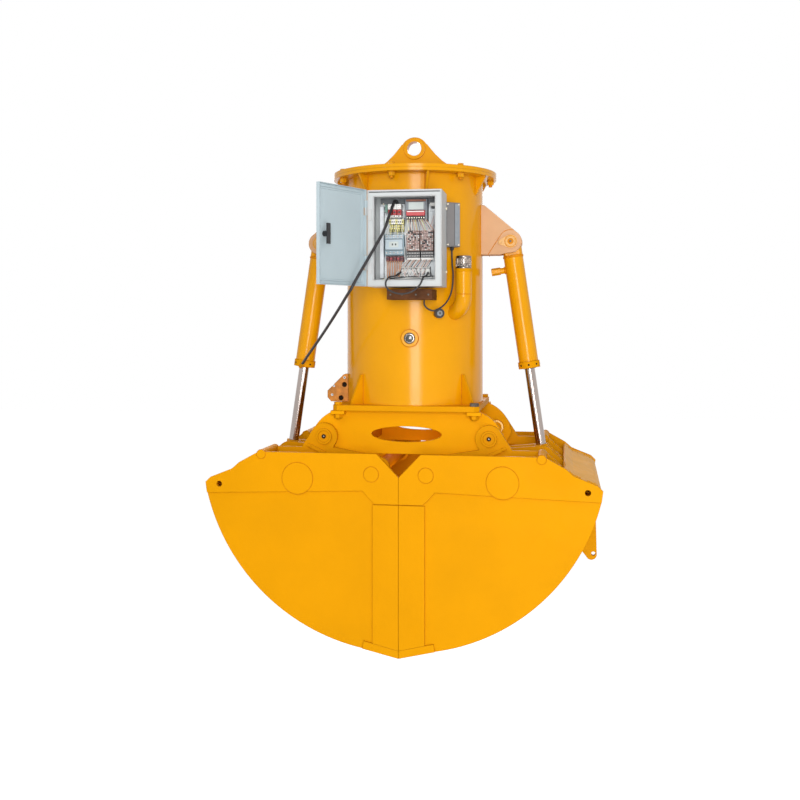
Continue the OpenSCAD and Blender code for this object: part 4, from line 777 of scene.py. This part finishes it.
# Folded edges, a black strip of painted shadow under the top lip, fixings and hinge leaves of the cabinet
(X0, FRONT, Z0), (X1, _, Z1) = box_mm("cabinet_box")
trim = Piece("cabinet_frame_edges")
trim.flat_blocks((((X0, Z1 - 6), (X1, Z1)), ((X0, Z0), (X1, Z0 + 5)), ((X0, Z0 + 5), (X0 + 4, Z1 - 6)),
                  ((X1 - 4, Z0 + 5), (X1, Z1 - 6)), ((X0 + 23, Z1 - 26), (X1 - 23, Z1 - 23)),
                  ((X0 + 23, Z0 + 23), (X1 - 23, Z0 + 26)), ((X0 + 23, Z0 + 26), (X0 + 26, Z1 - 26)),
                  ((X1 - 26, Z0 + 26), (X1 - 23, Z1 - 26))), FRONT - 2.6, FRONT + 0.5, rim_paint, 0.7)
# A black strip under the top lip: painted shadow
trim.block((X0 + 6, FRONT - 1.2, Z1 - 10.5), (X1 - 6, FRONT + 0.2, Z1 - 7), black, 0.3)
trim.flat_blocks((((X0 + 26, Z1 - 27.5), (X1 - 26, Z1 - 26)), ((X0 + 26, Z0 + 26), (X1 - 26, Z0 + 27.5)),
                  ((X0 + 26, Z0 + 27), (X0 + 27.5, Z1 - 27)), ((X1 - 27.5, Z0 + 27), (X1 - 26, Z1 - 27))),
                 FRONT, FRONT + 15, rim_paint, 0.3)
trim.done("cabinet_paint")
fixings = Piece("cabinet_fixings")
for x in (X0 - 0.4, X1 + 0.4):
    for z in (-310, -575):
        fixings.hexagon((x, -345, z), (x, 0, 0), 6.5, 4.5, zinc)
for x, z in ((-86, -285), (142, -285), (-86, -602), (142, -602)):
    fixings.hexagon((x, -335.2, z), -BACK, 5, 4, zinc)
    fixings.rod((x, -335, z), (x, -342, z), 2.4, zinc, 10)
for z in (-348, -566):
    for dz in (-11, 11):
        fixings.turned((X0 + 11, FRONT - 0.2, z + dz), -BACK, [(3.2, 0), (3.2, 1), (2, 1.9)], zinc, 12)
fixings.done("zinc_bolts")
plates = Piece("hinge_leaves")
for z in (-371, -589):
    plates.block((X0 + 1, FRONT - 2.9, z), (X0 + 19, FRONT + 0.1, z + 46), rim_paint, 0.8)
plates.done("cabinet_paint")

# Door: folded edge and gasket, drawn shut and turned with the open door
DOOR_IN = -515.6
swing, (hinge_x, hinge_y, _) = joint("cabinet_door_swing")
hinge = Matrix.Translation((hinge_x, hinge_y, 0))
door = Piece("door_inner_trim", "cabinet_door")
door.place = hinge @ Matrix.Rotation(math.radians(swing["range_deg"][0]), 4, "Z") @ hinge.inverted()
door.flat_blocks((((X0 + 2.4, Z1 - 14), (X1 - 2.4, Z1 - 2.4)), ((X0 + 2.4, Z0 + 2.4), (X1 - 2.4, Z0 + 14)),
                  ((X0 + 8, Z0 + 14), (X0 + 16, Z1 - 14)), ((X1 - 14, Z0 + 14), (X1 - 2.4, Z1 - 14))),
                 DOOR_IN, DOOR_IN + 2.2, door_paint, 0.5)
door.flat_blocks((((X0 + 12, Z1 - 22), (X1 - 12, Z1 - 16)), ((X0 + 12, Z0 + 16), (X1 - 12, Z0 + 22)),
                  ((X0 + 18, Z0 + 22), (X0 + 24, Z1 - 22)), ((X1 - 22, Z0 + 22), (X1 - 16, Z1 - 22))),
                 DOOR_IN, DOOR_IN + 3, door_paint, 1)
door.done("cabinet_paint")

# Electrical gear, seen through the open door; depths are measured forward from the axis, to just before the
# panel and its rails
PANEL, RAIL = 335.3, 0.4 - box_mm("mounting_panel")[0][1]
COLUMN, STRIP_STEP, STRIP_COUNT = 15.6, 6.2, 10
RELAY_COLUMNS, RELAY_ROWS, RELAY_STEP = 8, 13, 6.4
random.seed(7)


def gear_box(piece, x0, x1, z0, z1, back, front, surface, edge):
    """A box between two depths in front of the panel."""
    piece.block((x0, -front, z0), (x1, -back, z1), surface, edge)


terminals = Piece("terminal_blocks")
gear_box(terminals, -71, -60.5, -326, -294, RAIL, 388, green_plastic, 1)
for k in range(3):
    x = -58.5 + k * 19.2
    gear_box(terminals, x, x + 18.2, -315, -292.5, RAIL, 397, white_plastic, 1.6)
    gear_box(terminals, x + 1, x + 17, -339, -315.6, RAIL, 391, red_plastic, 1.4)
    gear_box(terminals, x, x + 18.2, -348.5, -339.6, RAIL, 396, white_plastic, 1.2)
    terminals.rod((x + 9, -396.5, -303), (x + 9, -399.5, -303), 4.2, steel, 12)
    terminals.rod((x + 9, -390.5, -327), (x + 9, -393, -327), 4.6, black, 12)
    terminals.block((x + 6.4, -399.7, -345.8), (x + 11.6, -395.4, -341.8), black, 0.4)
for k in range(7):
    x = -55.5 + k * 8.9
    cap_plastic = white_plastic if k % 3 else yellow_plastic
    gear_box(terminals, x, x + 8.3, -375.5, -355.5, RAIL, 380, cap_plastic, 0.8)
    gear_box(terminals, x + 0.4, x + 7.8, -405.5, -378, RAIL, 374, yellow_plastic, 0.8)
    terminals.block((x + 2.2, -380.8, -369.5), (x + 6, -379, -362), black, 0.3)
    terminals.rod((x + 4.1, -374, -388), (x + 4.1, -376.5, -388), 2.6, steel, 10)
    terminals.block((x + 1.8, -375.6, -402.5), (x + 6.2, -373, -397), black, 0.3)
for k in range(5):
    x = -62 + k * 15
    gear_box(terminals, x - 6.7, x + 6.8, -531, -510, RAIL, 377.5, maroon, 1.2)
    terminals.rod((x, -377, -520), (x, -379, -520), 3.6, red_plastic if k % 2 else black, 12)
for x in (-10, 54):
    gear_box(terminals, x, x + 62, -593.4, -552.8, RAIL, 370, black, 0.8)
terminals.done("pale_plastic", ["terminal_strips"])
for x0, name in ((-9.4, "left"), (54.6, "right")):
    unit = Piece("strip_terminals_" + name)
    unit.block((x0, -378, -592.6), (x0 + 5, -369.6, -553.4), white_plastic, 0.7)
    row(unit, STRIP_COUNT, STRIP_STEP)
    for suffix, z0, z1 in (("sockets", -565, -558), ("screws", -588, -581)):
        unit = Piece("strip_%s_%s" % (suffix, name))
        unit.block((x0 + 1.2, -378.8, z0), (x0 + 3.8, -377, z1), black, 0.3)
        row(unit, STRIP_COUNT, STRIP_STEP)

gear = Piece("contactor_body")
gear_box(gear, -73, 9, -506, -418.4, RAIL, 384, contactor_grey, 1.5)
gear_box(gear, -69, 5, -484, -440, 384, 402.5, contactor_pale, 2.5)
gear_box(gear, -71, 7, -437.5, -420, 384, 391, contactor_pale, 1.2)
gear_box(gear, -71, 7, -504, -487, 384, 391, contactor_grey, 1.2)
gear_box(gear, -52, -12, -474, -450, 402, 403.3, window_grey, 0.4)
for x in (-40, -27):
    gear.block((x, -403.45, -466), (x + 6, -403.1, -458), black, 0.1)
for k in range(5):
    x = -63.5 + k * COLUMN
    for z in (-428.5, -495.5):
        gear.rod((x, -391, z), (x, -393.6, z), 4.4, steel, 12)
        gear.block((x - 3.9, -394.6, z - 0.9), (x + 3.9, -392.8, z + 0.9), black, 0.2)
for k in range(6):
    x = -71 + k * COLUMN
    for z0, z1 in ((-437, -420.5), (-503.5, -487.5)):
        gear.block((x, -392.5, z0), (x + 1.2, -384, z1), contactor_grey, 0.3)
gear.done("blue_grey_plastic", ["contactor"])

RELAY_MIX = (relay_pale, pink_wire, relay_brown, relay_pale, white_plastic, black, relay_brown)
stacks = Piece("relay_stack_bodies")
for x0, x1 in ((18.9, 73.8), (78.1, 131.2)):
    gear_box(stacks, x0, x1, -515, -489, RAIL, 372, black, 1)
    gear_box(stacks, x0, x1, -526, -515.5, RAIL, 366, white_plastic, 0.8)
    gear_box(stacks, x0, x1, -488, -403, RAIL, 382, relay_brown, 1.2)
    gear_box(stacks, x0 + 0.5, x1 - 0.5, -486, -404, 381, 383, black, 0.5)
    width = (x1 - x0) / RELAY_COLUMNS
    for column in range(RELAY_COLUMNS):
        a, b = x0 + column * width + 0.9, x0 + (column + 1) * width - 0.9
        for level in range(RELAY_ROWS):
            low = -486 + level * RELAY_STEP
            surface = random.choice(RELAY_MIX)
            gear_box(stacks, a, b, low, low + 4.6, 382, random.uniform(387, 394), surface, 0.5)
        for z in (-509, -497):
            stacks.rod(((a + b) / 2, -371.6, z), ((a + b) / 2, -374.4, z), 2.1, white_plastic, 10)
stacks.done("brown_plastic", ["relay_stacks"])

meter = Piece("meter_relay_body")
gear_box(meter, 15, 108, -362.2, -274.5, RAIL, 400, meter_grey, 2)
gear_box(meter, 20, 103, -284, -276, 400, 404, meter_top, 0.8)
gear_box(meter, 20, 103, -321, -285.5, 400, 406, meter_grey, 1.5)
gear_box(meter, 31, 94, -319, -287.5, 406, 407.2, window_grey, 0.5)
gear_box(meter, 22, 101, -345, -323, 400, 416.5, red_plastic, 2)
gear_box(meter, 26, 97, -329.5, -325.5, 416.2, 417.4, white_plastic, 0.2)
for k in range(8):
    x = 22 + k * 10
    gear_box(meter, x, x + 8.6, -361, -347, 400, 412, black, 0.8)
    meter.rod((x + 4.3, -411.6, -353), (x + 4.3, -413.6, -353), 2.8, zinc, 10)
meter.done("grey_plastic", ["meter_relay"])
plug = Piece("small_connector")
gear_box(plug, 116, 138, -300, -286, PANEL, 368, white_plastic, 1)
gear_box(plug, 119, 135, -309, -300.5, PANEL, 360, black, 0.6)
plug.done("pale_plastic")
duct = Piece("wiring_ducts_and_top_shade")
gear_box(duct, 136, 152, -606, -330, PANEL, 372, duct_grey, 0.8)
gear_box(duct, -96, -80, -600, -300, PANEL, 372, duct_grey, 0.8)
# A dark grey box along the top of the panel: painted shade under the cabinet's top
gear_box(duct, -98, 152, -287, -263, PANEL, 341, cast_grey, 0.8)
duct.done("grey_plastic")

# Loose wires between the gear
wires = Piece("panel_wires")
WIRE_STEPS = 9


def strand(start, end, sag, surface, radius, out):
    """A thin wire that bows forward and down between two places on the panel."""
    a, b = Vector(start), Vector(end)
    mid = (a + b) / 2 + Vector((random.uniform(-4, 4), -out + random.uniform(-4, 2), -sag))
    path = [(1 - t) ** 2 * a + 2 * t * (1 - t) * mid + t * t * b
            for t in [k / WIRE_STEPS for k in range(WIRE_STEPS + 1)]]
    wires.wire(path, radius, surface, 6)


for k in range(9):
    strand((-64 + k * 8, -379, -530), (-62 + k * 6.5 + random.uniform(-3, 3), -376, -606), -2,
           copper_wire, 1.9, 9)
for k in range(20):
    strand((22 + k * 5.5, -382, -525), (-6 + k * 5.9 + random.uniform(-6, 6), -379, -556), 2,
           (white_plastic, pink_wire, copper_wire, black)[k % 4], 1.3, 8)
for k in range(34):
    x = -12 + k * 3.9
    strand((x, -379, -560 - 2 * (k % 3)), (x + random.uniform(-26, 26), -384, random.uniform(-604, -590)), 4,
           (white_plastic, white_plastic, duct_grey, black, pink_wire)[k % 5], 1.3, 8)
for k in range(10):
    strand((random.uniform(-60, -10), -388, -604 + 2 * (k % 4)),
           (random.uniform(60, 140), -386, -600 + 3 * (k % 3)), 3,
           (white_plastic, duct_grey, black)[k % 3], 1.5, 9)
for k in range(18):
    strand((26 + k * 4.6, -411, -360), (22 + k * 6.2 + random.uniform(-9, 9), -383, -404), -3,
           (white_plastic, yellow_plastic, pink_wire, black, white_plastic, copper_wire)[k % 6], 1.2, 6)
for k in range(7):
    strand((-51 + k * 9, -381, -378), (-60 + k * 10.5, -392, -421), -2,
           (white_plastic, yellow_plastic, black)[k % 3], 1.2, 7)
for k in range(5):
    strand((12, -386, -350 - k * 30), (16, -380, -440 - k * 28), 0,
           (black, white_plastic, duct_grey)[k % 3], 1.3, 7)
for k in range(6):
    strand((134, -374, -330 - k * 12), (110 + 3 * k, -386, -404), 5,
           (white_plastic, pink_wire, duct_grey)[k % 3], 1.2, 6)
wires.done("cable_rubber")

# Junction box: cover with screws, a lighter grey strip over part of it as painted reflection with a black line
# beside it, gland below
junction = Piece("junction_box_cover")
junction.place = Matrix.Rotation(math.radians(JUNCTION_TURN - 90), 4, "Z")
junction.block((357.1, -31, -463), (360.2, 31, -282), box_grey, 1.2)
# A lighter grey strip and a black line on the cover: painted reflection
junction.block((360, 7, -461), (361, 30.5, -284), meter_grey, 0.4)
junction.block((360, 5, -461), (360.6, 6.6, -284), black, 0.2)
for y in (-26, 26):
    for z in (-458, -287):
        junction.turned((360, y, z), (1, 0, 0), [(3.6, 0), (3.6, 0.9), (2.6, 1.6)], zinc, 14)
junction.done("box_paint")
gland = Piece("junction_gland")
gland.turned((198, -280, -466.1), -UP, [(9.5, 0), (9.5, 7), (8.4, 8), (8.4, 12), (6.5, 15), (4.2, 15.4)],
             black, 6)
gland.done("black_plastic")

# Tray: turned lip and screws; manifold: screws, and dark plugs of painted shade in its ports
tray = Piece("tray_trim")
(TRAY_LEFT, TRAY_FRONT, _), (TRAY_RIGHT, _, TRAY_TOP) = box_mm("cable_tray")
tray.block((TRAY_LEFT, TRAY_FRONT - 1.5, TRAY_TOP - 5), (TRAY_RIGHT, TRAY_FRONT + 0.1, TRAY_TOP),
           tray_paint, 0.5)
for x in (-40, 8, 66, 118):
    tray.turned((x, TRAY_FRONT, TRAY_TOP - 22), -BACK, [(4.2, 0), (4.2, 1.4), (2.8, 2.6)], dark_steel, 14)
tray.done("brown_paint")
block = Piece("manifold_screws")
for x, z in ((-360, -1112), (-352, -1072), (-303, -1034)):
    block.turned((x, MANIFOLD_FRONT, z), -BACK, [(6, 0), (6, 3), (5.2, 3.8)], steel, 16)
    block.turned((x, MANIFOLD_FRONT - 3.8, z), -BACK, [(2.8, 0), (2.8, 0.2)], painted_hole_shade, 6)
block.done("zinc_bolts")
holes = Piece("manifold_port_painted_shade")
for x, z in ((-320, -1125.7), (-304.8, -1065.5)):
    holes.turned((x, -89, z), -BACK, [(10.6, 0), (10.6, 12)], painted_hole_shade, 20)
holes.done("orange_paint")

# Studio: white surround, broad soft lights and a pale floor, in metres and watts
FLOOR_HALF, FLOOR_Z, FLOOR_GREY, FLOOR_GLOW = 30, -4, 0.85, 0.7
SURROUND_LEAST, SURROUND_MOST = 0.38, 1
WARM = (1, 0.62, 0.3)


def rays_of(tree, *kinds):
    """One for rays of these kinds, nought for all others."""
    paths = new_node(tree, "ShaderNodeLightPath")
    seen = paths.outputs[kinds[0]]
    for kind in kinds[1:]:
        most = new_node(tree, "ShaderNodeMath", operation="MAXIMUM")
        tree.links.new(seen, most.inputs[0])
        tree.links.new(paths.outputs[kind], most.inputs[1])
        seen = most.outputs[0]
    return seen


def floor_surface():
    """Pale grey, with a glow of its own that only camera and mirror rays meet."""
    made = bpy.data.materials.new("studio_floor")
    tree = bare_tree(made)
    link = tree.links.new
    out = tree.nodes.new("ShaderNodeOutputMaterial")
    plain = tree.nodes.new("ShaderNodeBsdfDiffuse")
    plain.inputs["Color"].default_value = (FLOOR_GREY, FLOOR_GREY, FLOOR_GREY, 1)
    glow = tree.nodes.new("ShaderNodeEmission")
    level = new_node(tree, "ShaderNodeMath", operation="MULTIPLY")
    level.inputs[1].default_value = FLOOR_GLOW
    both = tree.nodes.new("ShaderNodeAddShader")
    link(rays_of(tree, "Is Camera Ray", "Is Glossy Ray"), level.inputs[0])
    link(level.outputs[0], glow.inputs["Strength"])
    link(plain.outputs[0], both.inputs[0])
    link(glow.outputs[0], both.inputs[1])
    link(both.outputs[0], out.inputs[0])
    return made


floor_data = bpy.data.meshes.new("studio_floor")
floor_data.from_pydata([(x * FLOOR_HALF, y * FLOOR_HALF, FLOOR_Z) for x, y in CORNERS], [], [(0, 1, 2, 3)])
floor_data.materials.append(floor_surface())
floor = new_object("studio_floor", floor_data)

world = bpy.data.worlds.new("surround")
bpy.context.scene.world = world
tree = bare_tree(world)
out = tree.nodes.new("ShaderNodeOutputWorld")
ground = tree.nodes.new("ShaderNodeBackground")
ground.inputs["Color"].default_value = (1, 1, 1, 1)
level = tree.nodes.new("ShaderNodeMapRange")
level.inputs["To Min"].default_value = SURROUND_LEAST
level.inputs["To Max"].default_value = SURROUND_MOST
tree.links.new(rays_of(tree, "Is Camera Ray", "Is Glossy Ray", "Is Transmission Ray"), level.inputs["Value"])
tree.links.new(level.outputs[0], ground.inputs["Strength"])
tree.links.new(ground.outputs[0], out.inputs[0])


def area_light(name, place, aim, size, power, tint=(1, 1, 1)):
    """A soft light that points at a place and that the camera doesn't see."""
    data = bpy.data.lights.new(name, "AREA")
    data.shape = "RECTANGLE"
    data.size, data.size_y = size
    data.energy = power
    data.color = tint
    lamp = new_object(name, data)
    lamp.location = place
    lamp.visible_camera = False
    lamp.rotation_euler = (Vector(aim) - Vector(place)).to_track_quat("-Z", "Y").to_euler()


area_light("key_light", (-2.6, -4.2, 2.2), (0, 0, -1.0), (2.4, 2.4), 58)
area_light("front_strip", (0.95, -6.0, -0.35), (0, 0, -0.45), (1.7, 2.8), 250)
area_light("low_fill", (2.6, -3.8, -2.6), (0, 0, -1.5), (2.2, 1.6), 40)
area_light("side_fill", (3.8, -1.6, 2.0), (0.6, 0, -1.4), (1.8, 1.8), 30)
area_light("rear_fill", (-1.0, 5.5, 1.2), (0, 0, -1.0), (2.8, 2.8), 110)
area_light("inner_fill", (0, -0.2, -1.27), (0, 0.3, -1.25), (0.36, 0.06), 0.24, WARM)
area_light("jaw_fill", (0, -0.25, -1.55), (0, 0.4, -1.4), (0.5, 0.1), 1.3, WARM)

scene = bpy.context.scene
scene.view_settings.view_transform = "Standard"
scene.view_settings.look = "None"
scene.view_settings.exposure = 0
scene.view_settings.gamma = 1
